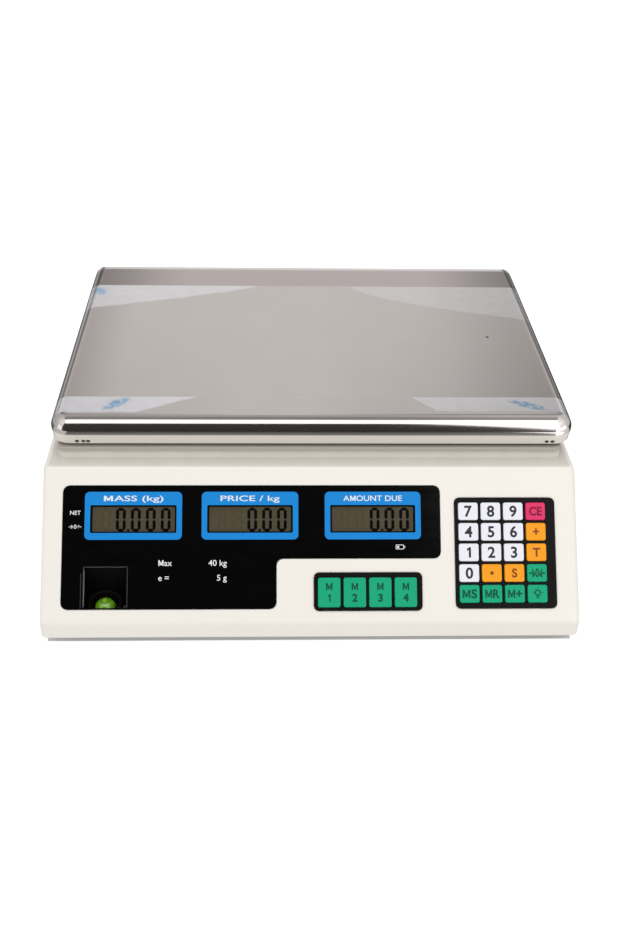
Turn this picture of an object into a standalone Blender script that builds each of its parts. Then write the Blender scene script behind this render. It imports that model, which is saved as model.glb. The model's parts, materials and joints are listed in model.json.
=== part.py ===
"""A counter-top price-computing scale.

Metres, +Z up. The origin is on the counter, under the middle of the case. The operator stands at -Y
and the customer at +Y. The console slopes down towards the operator, and its own frame has x across
it, y up the slope and z out of its face, with the origin at the middle of its top edge.
"""

import math

import bmesh
import bpy
from mathutils import Matrix, Vector

# ---- driving dimensions ------------------------------------------------------------------------
GAP = 0.0003  # kept between pieces that touch on the real object

BODY_W = 0.342
BODY_D = 0.325
BODY_BOTTOM = 0.0095  # underside of the case above the counter
WALL = 0.0025
LEDGE_Z = 0.095  # flat top of the case, round the neck
EDGE_ROUND = 0.005  # rounding of the case's side edges
CREASE_ROUND = 0.0014  # rounding of the case's cross edges

CONSOLE_TOP_Y = -0.0965
FRONT_WALL_TOP = 0.0205
FRONT_Y = -BODY_D / 2
REAR_Y = BODY_D / 2

PAN_W = 0.337
PAN_D = 0.242
PAN_H = 0.018
PAN_TOP = 0.123
PAN_SHEET = 0.001
PAN_CORNER = 0.009
PAN_EDGE = 0.0075
PAN_AT = (0.0015, 0.0345)  # the pan's middle; it rests a little to the right on its pads

NECK_W = 0.325
NECK_D = 0.239
NECK_Y = 0.032  # the neck's middle
NECK_CORNER = 0.0045
NECK_TOP = 0.1035

LENS_THICK = 0.0014
LENS_PROUD = 0.0003
POCKET = 0.0014  # depth of every pocket in the case that holds a lens, bezel or flange

LCD_SIZE = (0.058, 0.023, 0.0045)
LCD_WINDOW = (0.054, 0.0173)
LCD_V = 0.0335  # down the console to the middle of the windows
LCD_U = {"weight": -0.1128, "unit_price": -0.0391, "total_price": 0.0390}
BOARD_THICK = 0.0016

KEY_SIZE = (0.0126, 0.0112)
KEY_PITCH = (0.01443, 0.0131)
KEY_FIRST = (0.0999, 0.0289)  # u, v of the middle of the first key
MEMORY_KEY_SIZE = (0.0142, 0.0186)
MEMORY_KEY_PITCH = 0.01615
MEMORY_KEY_FIRST = (0.0109, 0.0801)
KEY_TALL = 0.005
KEY_PROUD = 0.0018  # key top above the console's face
KEY_CLEAR = 0.0004  # between a key and the edge of its hole
KEY_TRAVEL = 0.0015

CELL_SIZE = (0.130, 0.030, 0.022)
CELL_BOTTOM = 0.048
CELL_Y = 0.031  # the middle of the load cell, and of the spider on it
CELL_BOLT_X = 0.050  # from the middle of the bar to the middle of each bolted end
SPIDER_BOTTOM = 0.106
SPIDER_THICK = 0.004
SPIDER_REACH = (0.110, 0.072)  # from the spider's middle to each pad
PAD_R = 0.008

TRAY_TOP = 0.012
RIM_TOP = 0.017
FOOT_AT = (0.140, 0.128)
FOOT_Y = 0.0025  # the feet's middle, behind the case's
STEM_R = 0.004
STEM_TOP = 0.026
FOOT_PAD_TOP = 0.0047
WHEEL_TOP = 0.007

# Screws seen from underneath: six hold the case together, and two hold the load cell's fixed end.
SCREWS = [(x, y) for x in (-0.155, 0.155) for y in (-0.100, 0.040, 0.105)]
SCREWS += [(-0.050, 0.022), (-0.050, 0.040)]

BATTERY_SIZE = (0.101, 0.070, 0.047)
BATTERY_AT = (-0.0695, -0.040)

REAR_LENS = (0.236, 0.044)
REAR_DISPLAY_Z = 0.065
INLET_AT = (0.118, 0.0285)  # x, z on the rear wall
SWITCH_AT = (0.148, 0.0)  # x, y on the underside
ROCKER_TILT = math.radians(9)

VIAL_AT = (-0.131, -0.1467)
VIAL_R = 0.007

KEY_ROWS = (
    ("key_7", "key_8", "key_9", "key_clear"),
    ("key_4", "key_5", "key_6", "key_add"),
    ("key_1", "key_2", "key_3", "key_tare"),
    ("key_0", "key_point", "key_save", "key_zero"),
    ("key_memory_store", "key_memory_recall", "key_memory_add", "key_light"),
)
MEMORY_KEYS = ("key_m1", "key_m2", "key_m3", "key_m4")

# ---- derived -----------------------------------------------------------------------------------
SLOPE_RUN = CONSOLE_TOP_Y - FRONT_Y
SLOPE_DROP = LEDGE_Z - FRONT_WALL_TOP
SLOPE_ANGLE = math.atan2(SLOPE_DROP, SLOPE_RUN)
PAN_UNDERSIDE = PAN_TOP - PAN_SHEET
CELL_TOP = CELL_BOTTOM + CELL_SIZE[2]

COLOURS = {
    "abs_white": ((0.88, 0.86, 0.80), 0.45, 0.0),
    "tray_grey": ((0.55, 0.54, 0.51), 0.55, 0.0),
    "steel": ((0.62, 0.60, 0.58), 0.22, 1.0),
    "overlay_black": ((0.006, 0.006, 0.007), 0.12, 0.0),
    "bezel_black": ((0.012, 0.012, 0.014), 0.35, 0.0),
    "lcd": ((0.10, 0.095, 0.055), 0.25, 0.0),
    "key_white": ((0.86, 0.86, 0.90), 0.4, 0.0),
    "key_pink": ((0.75, 0.03, 0.16), 0.4, 0.0),
    "key_orange": ((0.98, 0.35, 0.02), 0.4, 0.0),
    "key_green": ((0.003, 0.40, 0.21), 0.4, 0.0),
    "silicone": ((0.45, 0.46, 0.47), 0.6, 0.0),
    "board_green": ((0.01, 0.12, 0.04), 0.4, 0.0),
    "aluminium": ((0.66, 0.67, 0.69), 0.35, 1.0),
    "cast_grey": ((0.30, 0.31, 0.32), 0.5, 0.6),
    "rubber": ((0.02, 0.02, 0.02), 0.8, 0.0),
    "battery_grey": ((0.10, 0.10, 0.11), 0.5, 0.0),
    "vial_green": ((0.16, 0.38, 0.01), 0.1, 0.0),
    "zinc": ((0.60, 0.60, 0.58), 0.3, 1.0),
    "cable_grey": ((0.16, 0.16, 0.17), 0.5, 0.0),
    "cable_red": ((0.50, 0.02, 0.02), 0.5, 0.0),
}


# ---- scene and small helpers -------------------------------------------------------------------
def clear_scene():
    for obj in list(bpy.data.objects):
        bpy.data.objects.remove(obj)


def new_collection(name):
    collection = bpy.data.collections.new(name)
    bpy.context.scene.collection.children.link(collection)
    return collection


def make_materials():
    for name, (colour, roughness, metallic) in COLOURS.items():
        material = bpy.data.materials.new(name)
        material.use_nodes = True
        shader = material.node_tree.nodes["Principled BSDF"]
        shader.inputs["Base Color"].default_value = (*colour, 1.0)
        shader.inputs["Roughness"].default_value = roughness
        shader.inputs["Metallic"].default_value = metallic
        material.diffuse_color = (*colour, 1.0)


clear_scene()
PARTS = new_collection("price_scale")
CUTTERS = new_collection("price_scale_cutters")
make_materials()


def add_empty(name, matrix):
    empty = bpy.data.objects.new(name, None)
    empty.matrix_world = matrix
    PARTS.objects.link(empty)
    return empty


CONSOLE_FRAME = Matrix.Translation((0, CONSOLE_TOP_Y, LEDGE_Z)) @ Matrix.Rotation(SLOPE_ANGLE, 4, "X")
UPRIGHT = Matrix.Rotation(math.pi / 2, 4, "X")
REAR_FRAME = Matrix.Translation((0, REAR_Y, 0)) @ Matrix.Rotation(math.pi, 4, "Z") @ UPRIGHT
# Takes a side view drawn as (y, z) to its place, so that its sheet runs across the object.
PROFILE_FRAME = Matrix(((0, 0, 1, 0), (1, 0, 0, 0), (0, 1, 0, 0), (0, 0, 0, 1)))
CONSOLE = add_empty("console_frame", CONSOLE_FRAME)
REAR = add_empty("rear_frame", REAR_FRAME)


def add_object(name, mesh, material=None, at=(0, 0, 0), parent=None):
    """A part when it has a material, and otherwise a cutter, which isn't rendered."""
    obj = bpy.data.objects.new(name, mesh)
    obj.location = at
    obj.parent = parent
    if material:
        mesh.materials.clear()
        mesh.materials.append(bpy.data.materials[material])
        PARTS.objects.link(obj)
    else:
        obj.hide_render = True
        obj.display_type = "WIRE"
        CUTTERS.objects.link(obj)
    return obj


def mesh_from(bm, name):
    mesh = bpy.data.meshes.new(name)
    bm.to_mesh(mesh)
    bm.free()
    return mesh


def box_bmesh(size, centre=(0, 0, 0)):
    bm = bmesh.new()
    matrix = Matrix.Translation(centre) @ Matrix.Diagonal((*size, 1))
    bmesh.ops.create_cube(bm, size=1, matrix=matrix)
    return bm


def upright(edge):
    low, high = edge.verts[0].co, edge.verts[1].co
    return abs(low.z - high.z) > 0.9 * (low - high).length


def level_at(edge, z):
    return all(abs(vert.co.z - z) < 1e-6 for vert in edge.verts)


def box(name, size, centre=(0, 0, 0), material=None, corner=0, top_round=0, steps=2, **place):
    """A box with rounded upright corners and, if top_round is given, a rounded upper edge."""
    bm = box_bmesh(size, centre)
    if corner:
        edges = [edge for edge in bm.edges if upright(edge)]
        bmesh.ops.bevel(bm, geom=edges, offset=corner, segments=steps, profile=0.5, affect="EDGES")
    if top_round:
        top = centre[2] + size[2] / 2
        edges = [edge for edge in bm.edges if level_at(edge, top)]
        bmesh.ops.bevel(bm, geom=edges, offset=top_round, segments=steps, profile=0.5, affect="EDGES")
    return add_object(name, mesh_from(bm, name), material, **place)


def cylinder(name, radius, low, high, centre=(0, 0), material=None, sides=24, **place):
    """An upright cylinder from height low to height high."""
    bm = bmesh.new()
    matrix = Matrix.Translation((*centre, (low + high) / 2))
    bmesh.ops.create_cone(
        bm, cap_ends=True, segments=sides, radius1=radius, radius2=radius, depth=high - low, matrix=matrix
    )
    return add_object(name, mesh_from(bm, name), material, **place)


def arc(centre, radius, start, end, steps):
    for step in range(steps + 1):
        angle = start + (end - start) * step / steps
        yield (centre[0] + radius * math.cos(angle), centre[1] + radius * math.sin(angle))


def rounded(corners, radius, steps=3):
    """The outline through these corners, each rounded to this radius."""
    outline = []
    count = len(corners)
    for index, corner in enumerate(corners):
        here = Vector(corner)
        to_last = (Vector(corners[index - 1]) - here).normalized()
        to_next = (Vector(corners[(index + 1) % count]) - here).normalized()
        half = to_last.angle(to_next) / 2
        middle = here + (to_last + to_next).normalized() * radius / math.sin(half)
        first = here + to_last * radius / math.tan(half) - middle
        last = here + to_next * radius / math.tan(half) - middle
        turn = first.angle_signed(last)
        start = math.atan2(first.y, first.x)
        outline += arc(middle, radius, start, start - turn, steps)
    return outline


def rectangle(width, height, centre=(0, 0)):
    x, y = centre
    w, h = width / 2, height / 2
    return [(x - w, y - h), (x + w, y - h), (x + w, y + h), (x - w, y + h)]


def inset(corners, distance):
    """A convex outline, given anticlockwise, moved inwards by this distance."""
    lines = []
    for index, corner in enumerate(corners):
        start, end = Vector(corners[index - 1]), Vector(corner)
        along = (end - start).normalized()
        lines.append((start + Vector((-along.y, along.x)) * distance, along))
    moved = []
    for index, (point, along) in enumerate(lines):
        other, way = lines[(index + 1) % len(lines)]
        across = along.x * way.y - along.y * way.x
        offset = other - point
        reach = (offset.x * way.y - offset.y * way.x) / across
        moved.append(tuple(point + along * reach))
    return moved


def meshed(obj, material, parent):
    """The mesh object of a curve, with the curve's loose caps welded."""
    bpy.context.view_layer.update()
    graph = bpy.context.evaluated_depsgraph_get()
    mesh = bpy.data.meshes.new_from_object(obj.evaluated_get(graph))
    name = obj.name
    matrix = obj.matrix_world.copy()
    bpy.data.objects.remove(obj)
    bm = bmesh.new()
    bm.from_mesh(mesh)
    bmesh.ops.remove_doubles(bm, verts=bm.verts, dist=0.00001)
    bmesh.ops.recalc_face_normals(bm, faces=bm.faces)
    bm.to_mesh(mesh)
    bm.free()
    twin = add_object(name, mesh, material)
    twin.matrix_world = matrix
    twin.parent = parent
    return twin


def plate(name, outlines, low, high, material=None, parent=None, frame=None):
    """A flat sheet from height low to high, from an outer outline and any holes in it."""
    curve = bpy.data.curves.new(name, "CURVE")
    curve.dimensions = "2D"
    curve.fill_mode = "BOTH"
    curve.extrude = (high - low) / 2
    for outline in outlines:
        spline = curve.splines.new("POLY")
        spline.points.add(len(outline) - 1)
        for point, (x, y) in zip(spline.points, outline):
            point.co = (x, y, 0, 1)
        spline.use_cyclic_u = True
    obj = bpy.data.objects.new(name, curve)
    obj.matrix_world = (frame or Matrix.Identity(4)) @ Matrix.Translation((0, 0, (low + high) / 2))
    CUTTERS.objects.link(obj)
    return meshed(obj, material, parent)


def turned(name, profile, material, sides=24, at=(0, 0, 0)):
    """A solid of revolution. The profile, (radius, height), runs from the top to the bottom."""
    mesh = bpy.data.meshes.new(name)
    points = [(radius, 0, height) for radius, height in profile]
    mesh.from_pydata(points, [(index, index + 1) for index in range(len(points) - 1)], [])
    obj = add_object(name, mesh, material, at=at)
    screw = obj.modifiers.new("turn", "SCREW")
    screw.steps = screw.render_steps = sides
    screw.use_merge_vertices = True
    screw.merge_threshold = 0.00001
    return obj


def combine(target, tools, operation="DIFFERENCE"):
    for tool in tools:
        modifier = target.modifiers.new(tool.name, "BOOLEAN")
        modifier.operation = operation
        modifier.object = tool
        modifier.solver = "EXACT"
    return target


def cut(target, *tools):
    return combine(target, tools)


def join(target, *tools):
    return combine(target, tools, "UNION")


def on_console(u, v):
    """Console coordinates of a point u across from the middle and v down from the top edge."""
    return (u, -v)


def console_box(name, size, u, v, low, material=None, **shape):
    """A box on the console whose underside is at height low over the console's face."""
    return box(name, size, (0, 0, size[2] / 2), material, at=(u, -v, low), parent=CONSOLE, **shape)


# ---- outlines on the console -------------------------------------------------------------------
LENS_CORNERS = [
    on_console(-0.1572, 0.0902),
    on_console(-0.0225, 0.0902),
    on_console(-0.0225, 0.0586),
    on_console(0.0820, 0.0586),
    on_console(0.0820, 0.0123),
    on_console(-0.1572, 0.0123),
]
LEVEL_WINDOW = rectangle(0.0272, 0.0255, on_console(-0.1298, 0.0766))
KEYPAD_OUTLINE = rectangle(0.0642, 0.0702, on_console(0.1235, 0.0553))
MEMORY_OUTLINE = rectangle(0.0683, 0.0238, on_console(0.0356, 0.0796))


def grown(corners, distance):
    return inset(corners, -distance)


def grown_lens(distance):
    """The lens's L outline, moved outwards. It isn't convex, so each corner is moved on its own."""
    left, low = LENS_CORNERS[0]
    right, high = LENS_CORNERS[4]
    step_x, step_y = LENS_CORNERS[2]
    return [
        (left - distance, low - distance),
        (step_x + distance, low - distance),
        (step_x + distance, step_y - distance),
        (right + distance, step_y - distance),
        (right + distance, high + distance),
        (left - distance, high + distance),
    ]


# ---- the case ----------------------------------------------------------------------------------
CASE_PROFILE = [
    (FRONT_Y, BODY_BOTTOM),
    (REAR_Y, BODY_BOTTOM),
    (REAR_Y, LEDGE_Z),
    (CONSOLE_TOP_Y, LEDGE_Z),
    (FRONT_Y, FRONT_WALL_TOP),
]


def case_solid():
    """The case's outer form, with its side edges rounded more than its cross edges."""
    case = plate("top_housing", [CASE_PROFILE], -BODY_W / 2, BODY_W / 2, "abs_white", frame=PROFILE_FRAME)
    bm = bmesh.new()
    bm.from_mesh(case.data)
    bmesh.ops.dissolve_limit(bm, angle_limit=math.radians(1), verts=bm.verts, edges=bm.edges)
    weight = bm.edges.layers.float.new("bevel_weight_edge")
    for edge in bm.edges:
        low, high = (vert.co for vert in edge.verts)
        crosses = abs(low.z - high.z) > BODY_W / 2
        underneath = max(low.y, high.y) < BODY_BOTTOM + 1e-6
        if not underneath:
            edge[weight] = CREASE_ROUND / EDGE_ROUND if crosses else 1.0
    bm.to_mesh(case.data)
    bm.free()
    bevel = case.modifiers.new("rounding", "BEVEL")
    bevel.limit_method = "WEIGHT"
    bevel.width = EDGE_ROUND
    bevel.segments = 4
    return case


def case_cavity():
    corners = inset(CASE_PROFILE, WALL)
    lowest = min(z for _, z in corners)
    deeper = [(y, BODY_BOTTOM - WALL if abs(z - lowest) < 1e-6 else z) for y, z in corners]
    reach = BODY_W / 2 - WALL
    return plate("cut_case_cavity", [deeper], -reach, reach, frame=PROFILE_FRAME)


def make_top_housing():
    case = case_solid()
    neck = box(
        "form_neck",
        (NECK_W, NECK_D, NECK_TOP - LEDGE_Z + 0.006),
        (0, NECK_Y, (NECK_TOP + LEDGE_Z - 0.006) / 2),
        corner=NECK_CORNER,
        top_round=0.0012,
        steps=3,
    )
    neck_cavity = box(
        "cut_neck_cavity",
        (NECK_W - 2 * WALL, NECK_D - 2 * WALL, NECK_TOP - WALL - LEDGE_Z + 0.006),
        (0, NECK_Y, (NECK_TOP - WALL + LEDGE_Z - 0.006) / 2),
        corner=NECK_CORNER - WALL,
        steps=3,
    )
    hub_hole = cylinder(
        "cut_hub_hole", 0.021, NECK_TOP - 0.01, NECK_TOP + 0.01, (CELL_BOLT_X, CELL_Y), sides=32
    )
    join(case, neck)
    cut(case, case_cavity(), neck_cavity, hub_hole, *console_cutters(), *rear_cutters())


def console_cutters():
    depth = 0.02
    keypad_pocket = rounded(grown(KEYPAD_OUTLINE, GAP), 0.0033)
    memory_pocket = rounded(grown(MEMORY_OUTLINE, GAP), 0.0033)
    pockets = [
        plate("cut_lens_pocket", [rounded(grown_lens(GAP), 0.0043)], -POCKET, depth, parent=CONSOLE),
        plate("cut_keypad_pocket", [keypad_pocket], -POCKET, depth, parent=CONSOLE),
        plate("cut_memory_pocket", [memory_pocket], -POCKET, depth, parent=CONSOLE),
    ]
    through = [
        plate("cut_keypad_way", [inset(KEYPAD_OUTLINE, 0.0015)], -depth, depth, parent=CONSOLE),
        plate("cut_memory_way", [inset(MEMORY_OUTLINE, 0.0015)], -depth, depth, parent=CONSOLE),
        plate("cut_level_way", [LEVEL_WINDOW], -depth, depth, parent=CONSOLE),
    ]
    for name, u in LCD_U.items():
        hole = rectangle(LCD_SIZE[0] + 0.001, LCD_SIZE[1] + 0.001, on_console(u, LCD_V))
        through.append(plate(f"cut_{name}_way", [hole], -depth, depth, parent=CONSOLE))
    return pockets + through


def rear_cutters():
    depth = 0.01
    pocket = grown(rectangle(*REAR_LENS, (0, REAR_DISPLAY_Z)), GAP)
    flange = grown(rectangle(0.030, 0.0225, (-INLET_AT[0], INLET_AT[1])), GAP)
    socket = grown(rectangle(0.0264, 0.0192, (-INLET_AT[0], INLET_AT[1])), GAP)
    cutters = [
        plate("cut_rear_pocket", [rounded(pocket, 0.003)], -POCKET, depth, parent=REAR),
        plate("cut_inlet_pocket", [rounded(flange, 0.002)], -POCKET, depth, parent=REAR),
        plate("cut_inlet_way", [socket], -depth, depth, parent=REAR),
    ]
    for name, u in LCD_U.items():
        hole = rectangle(LCD_SIZE[0], LCD_SIZE[1], (rear_window_x(u), REAR_DISPLAY_Z))
        cutters.append(plate(f"cut_rear_{name}_way", [hole], -depth, depth, parent=REAR))
    return cutters


def rear_window_x(u):
    """The rear display has the same three windows as the console, centred on the rear wall."""
    return u - LCD_U["unit_price"]


def make_base_tray():
    width = BODY_W - 2 * WALL - 0.0008
    depth = BODY_D - 2 * WALL - 0.0008
    tray = box(
        "base_tray",
        (width, depth, RIM_TOP - BODY_BOTTOM),
        (0, 0, (RIM_TOP + BODY_BOTTOM) / 2),
        "tray_grey",
        corner=0.003,
    )
    hollow = box(
        "cut_tray_hollow",
        (width - 0.004, depth - 0.004, 0.02),
        (0, 0, TRAY_TOP + 0.01),
        corner=0.001,
        steps=1,
    )
    cut(tray, hollow)
    boss_top = CELL_BOTTOM - GAP
    join(
        tray,
        box(
            "form_cell_boss",
            (0.034, 0.034, boss_top - 0.011),
            (-CELL_BOLT_X, CELL_Y, (boss_top + 0.011) / 2),
        ),
        cylinder("form_vial_post", VIAL_R, 0.011, 0.0137, VIAL_AT, sides=16),
        *battery_ribs(),
        *[cylinder(f"form_foot_boss_{i}", 0.0085, 0.011, 0.020, at, sides=20) for i, at in foot_places()],
    )
    bay = (BATTERY_AT[0], BATTERY_AT[1], BODY_BOTTOM)
    screw_seats = [
        cylinder(f"cut_screw_seat_{i}", 0.0035, 0, BODY_BOTTOM + 0.0012, at, sides=16)
        for i, at in enumerate(SCREWS, 1)
    ]
    cut(
        tray,
        *screw_seats,
        box("cut_battery_cover_seat", (0.112, 0.082, 0.003), bay),
        box("cut_battery_way", (0.1035, 0.0725, 0.02), bay),
        box("cut_switch_way", (0.0196, 0.0136, 0.02), (*SWITCH_AT, BODY_BOTTOM)),
        *[cylinder(f"cut_stem_{i}", STEM_R + GAP, 0, 0.03, at, sides=20) for i, at in foot_places()],
    )


def battery_ribs():
    """Two walls on the tray, one along each long side of the battery."""
    for name, side in (("front", -1), ("rear", 1)):
        y = BATTERY_AT[1] + side * (BATTERY_SIZE[1] / 2 + 0.003)
        yield box(f"form_battery_rib_{name}", (0.080, 0.002, 0.020), (BATTERY_AT[0], y, 0.021))


def foot_places():
    """Foot number and place, front left first and then clockwise from above."""
    x, y = FOOT_AT
    corners = ((-x, -y), (-x, y), (x, y), (x, -y))
    return [(number, (px, py + FOOT_Y)) for number, (px, py) in enumerate(corners, 1)]


# ---- console pieces ----------------------------------------------------------------------------
def make_display_lens():
    windows = [rounded(rectangle(*LCD_WINDOW, on_console(u, LCD_V)), 0.0008, 2) for u in LCD_U.values()]
    outlines = [rounded(LENS_CORNERS, 0.004), *windows, rounded(LEVEL_WINDOW, 0.0015)]
    low = LENS_PROUD - LENS_THICK
    plate("display_lens", outlines, low, LENS_PROUD, "overlay_black", parent=CONSOLE)


def make_lcds():
    face = LENS_PROUD - LENS_THICK - GAP
    for name, u in LCD_U.items():
        console_box(f"lcd_{name}", LCD_SIZE, u, LCD_V, face - LCD_SIZE[2], "lcd", corner=0.001, steps=1)


def make_boards():
    """The main board behind the displays, and the key board and silicone mat behind the keys."""
    board_top = LENS_PROUD - LENS_THICK - GAP - LCD_SIZE[2] - GAP
    console_box(
        "main_board", (0.232, 0.042, BOARD_THICK), -0.034, 0.0335, board_top - BOARD_THICK, "board_green"
    )
    corners = [
        on_console(-0.001, 0.0925),
        on_console(0.1575, 0.0925),
        on_console(0.1575, 0.0190),
        on_console(0.0885, 0.0190),
        on_console(0.0885, 0.0665),
        on_console(-0.001, 0.0665),
    ]
    mat_top = KEY_PROUD - KEY_TALL - KEY_TRAVEL - GAP
    mat_bottom = mat_top - 0.0010
    plate("key_mat", [rounded(corners, 0.002)], mat_bottom, mat_top, "silicone", parent=CONSOLE)
    key_board_top = mat_bottom - GAP
    low = key_board_top - BOARD_THICK
    plate("key_board", [rounded(corners, 0.001, 1)], low, key_board_top, "board_green", parent=CONSOLE)


def key_places():
    """Name, size, u, v and colour of every key."""
    oranges = ("key_add", "key_tare", "key_point", "key_save")
    for row, names in enumerate(KEY_ROWS):
        for column, name in enumerate(names):
            u = KEY_FIRST[0] + column * KEY_PITCH[0]
            v = KEY_FIRST[1] + row * KEY_PITCH[1]
            colour = "key_orange" if name in oranges else "key_green"
            if name[-1].isdigit():
                colour = "key_white"
            if name == "key_clear":
                colour = "key_pink"
            yield name, KEY_SIZE, u, v, colour
    for column, name in enumerate(MEMORY_KEYS):
        u = MEMORY_KEY_FIRST[0] + column * MEMORY_KEY_PITCH
        yield name, MEMORY_KEY_SIZE, u, MEMORY_KEY_FIRST[1], "key_green"


def make_bezels():
    """Each bezel is a plate with a window for each of its keys."""
    bezels = (("keypad_bezel", KEYPAD_OUTLINE, False), ("memory_key_bezel", MEMORY_OUTLINE, True))
    for name, outline, memory in bezels:
        holes = [
            rounded(rectangle(w + 2 * KEY_CLEAR, h + 2 * KEY_CLEAR, on_console(u, v)), 0.0010, 2)
            for key, (w, h), u, v, _ in key_places()
            if (key in MEMORY_KEYS) == memory
        ]
        plate(name, [rounded(outline, 0.003), *holes], GAP - POCKET, 0.0009, "bezel_black", parent=CONSOLE)


def make_keys():
    """Keycaps with a rounded crown, each with its origin at the middle of its underside."""
    for name, (width, height), u, v, colour in key_places():
        size = (width, height, KEY_TALL)
        low = KEY_PROUD - KEY_TALL
        console_box(name, size, u, v, low, colour, corner=0.0012, top_round=0.0005)


# ---- rear pieces -------------------------------------------------------------------------------
def make_rear_display():
    windows = [
        rounded(rectangle(*LCD_WINDOW, (rear_window_x(u), REAR_DISPLAY_Z)), 0.0008, 2) for u in LCD_U.values()
    ]
    outline = rounded(rectangle(*REAR_LENS, (0, REAR_DISPLAY_Z)), 0.0027)
    plate("rear_lens", [outline, *windows], GAP - POCKET, 0, "overlay_black", parent=REAR)
    board_top = -0.006
    module = box(
        "rear_display_module",
        (0.226, 0.034, BOARD_THICK),
        (0, 0, -BOARD_THICK / 2),
        "lcd",
        at=(0, REAR_DISPLAY_Z, board_top),
        parent=REAR,
    )
    face = -POCKET - 0.0001
    for name, u in LCD_U.items():
        size = (LCD_SIZE[0] - 0.001, LCD_SIZE[1] - 0.001, face - board_top + 0.0005)
        glass = box(
            f"form_rear_{name}",
            size,
            (0, 0, size[2] / 2),
            at=(rear_window_x(u), REAR_DISPLAY_Z, board_top - 0.0005),
            parent=REAR,
        )
        join(module, glass)


def make_power_inlet():
    """An appliance inlet: a flanged shell with a deep socket and three flat pins in it."""
    at = (-INLET_AT[0], INLET_AT[1], 0)
    flange_low = GAP - POCKET
    inlet = box(
        "power_inlet",
        (0.030, 0.0225, -flange_low),
        (0, 0, flange_low / 2),
        "bezel_black",
        corner=0.002,
        at=at,
        parent=REAR,
    )
    shell = box("form_inlet_shell", (0.0262, 0.0190, 0.020), (0, 0, -0.0105), at=at, parent=REAR)
    socket = box("cut_inlet_socket", (0.0226, 0.0154, 0.020), (0, 0, -0.0070), at=at, parent=REAR)
    join(inlet, shell)
    cut(inlet, socket)
    for name, x, y in (("earth", 0, 0.002), ("live", -0.007, -0.002), ("neutral", 0.007, -0.002)):
        pin = box(f"form_{name}_pin", (0.002, 0.004, 0.0150), (x, y, -0.0110), at=at, parent=REAR)
        join(inlet, pin)


# ---- platform ----------------------------------------------------------------------------------
def make_load_cell():
    """A single-point bar, waisted by two joined bores, with its fixed end at -X."""
    bottom = CELL_BOTTOM
    middle = (0, CELL_Y, bottom + CELL_SIZE[2] / 2)
    cell = box("load_cell", CELL_SIZE, middle, "aluminium")
    bores = []
    for name, x in (("left", -0.0085), ("right", 0.0085)):
        bore = cylinder(f"cut_cell_{name}_bore", 0.0085, -0.02, 0.02, sides=20)
        bore.matrix_world = Matrix.Translation((x, CELL_Y, middle[2])) @ Matrix.Rotation(math.pi / 2, 4, "X")
        bores.append(bore)
    slot = box("cut_cell_slot", (0.017, 0.04, 0.006), middle)
    cut(cell, *bores, slot)


def pad_places():
    x, y = SPIDER_REACH
    corners = ((-x, -y), (-x, y), (x, y), (x, -y))
    return [(number, (px, CELL_Y + py)) for number, (px, py) in enumerate(corners, 1)]


def make_pan_support():
    """A spider: two crossed arms with a pad seat at each end, and a hub down to the load cell."""
    top = SPIDER_BOTTOM + SPIDER_THICK
    middle = (0, CELL_Y, (SPIDER_BOTTOM + top) / 2)
    spider = box("pan_support", (0.150, 0.060, SPIDER_THICK), middle, "cast_grey", corner=0.008)
    reach = math.hypot(*SPIDER_REACH)
    turn = math.atan2(SPIDER_REACH[1], SPIDER_REACH[0])
    for name, angle in (("a", turn), ("b", -turn)):
        arm = box(f"form_arm_{name}", (2 * reach, 0.020, SPIDER_THICK), corner=0.003, steps=1)
        arm.matrix_world = Matrix.Translation(middle) @ Matrix.Rotation(angle, 4, "Z")
        join(spider, arm)
    seats = [
        cylinder(f"form_pad_seat_{i}", PAD_R + 0.004, SPIDER_BOTTOM - 0.0003, top + 0.0006, at)
        for i, at in pad_places()
    ]
    hub = cylinder("form_hub", 0.015, CELL_TOP + GAP, SPIDER_BOTTOM + 0.002, (CELL_BOLT_X, CELL_Y))
    join(spider, hub, *seats)


def make_pan_pads():
    low = SPIDER_BOTTOM + SPIDER_THICK + 0.0006 + GAP
    high = PAN_UNDERSIDE - GAP
    profile = [(0, high), (PAD_R - 0.0015, high), (PAD_R, high - 0.0015), (PAD_R, low), (0, low)]
    for number, at in pad_places():
        turned(f"pan_pad_{number}", profile, "rubber", 16, (*at, 0))


def make_pan():
    """A pressed sheet: an open box with rounded corners and a rounded upper edge, made solid."""
    bm = box_bmesh((PAN_W, PAN_D, PAN_H), (0, 0, -PAN_H / 2))
    edges = [edge for edge in bm.edges if upright(edge)]
    bmesh.ops.bevel(bm, geom=edges, offset=PAN_CORNER, segments=6, profile=0.5, affect="EDGES")
    underside = [face for face in bm.faces if face.normal.z < -0.5]
    bmesh.ops.delete(bm, geom=underside, context="FACES_ONLY")
    edges = [edge for edge in bm.edges if level_at(edge, 0)]
    bmesh.ops.bevel(bm, geom=edges, offset=PAN_EDGE, segments=5, profile=0.5, affect="EDGES")
    pan = add_object("pan", mesh_from(bm, "pan"), "steel", at=(*PAN_AT, PAN_TOP))
    sheet = pan.modifiers.new("sheet", "SOLIDIFY")
    sheet.thickness = PAN_SHEET
    sheet.offset = -1


# ---- underside ---------------------------------------------------------------------------------
def make_feet():
    """Each foot is a rubber pad under a threaded stem with a thumb wheel, both on the foot's axis."""
    pad = [(0, FOOT_PAD_TOP), (0.009, FOOT_PAD_TOP), (0.012, 0.0012), (0.0115, 0), (0, 0)]
    wheel_low = FOOT_PAD_TOP + GAP
    stem = [
        (0, STEM_TOP),
        (STEM_R - 0.0008, STEM_TOP),
        (STEM_R, STEM_TOP - 0.0008),
        (STEM_R, WHEEL_TOP),
        (0.0105, WHEEL_TOP),
        (0.0105, wheel_low),
        (0, wheel_low),
    ]
    for number, at in foot_places():
        turned(f"foot_pad_{number}", pad, "rubber", 24, (*at, 0))
        turned(f"foot_stem_{number}", stem, "zinc", 20, (*at, 0))


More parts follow.
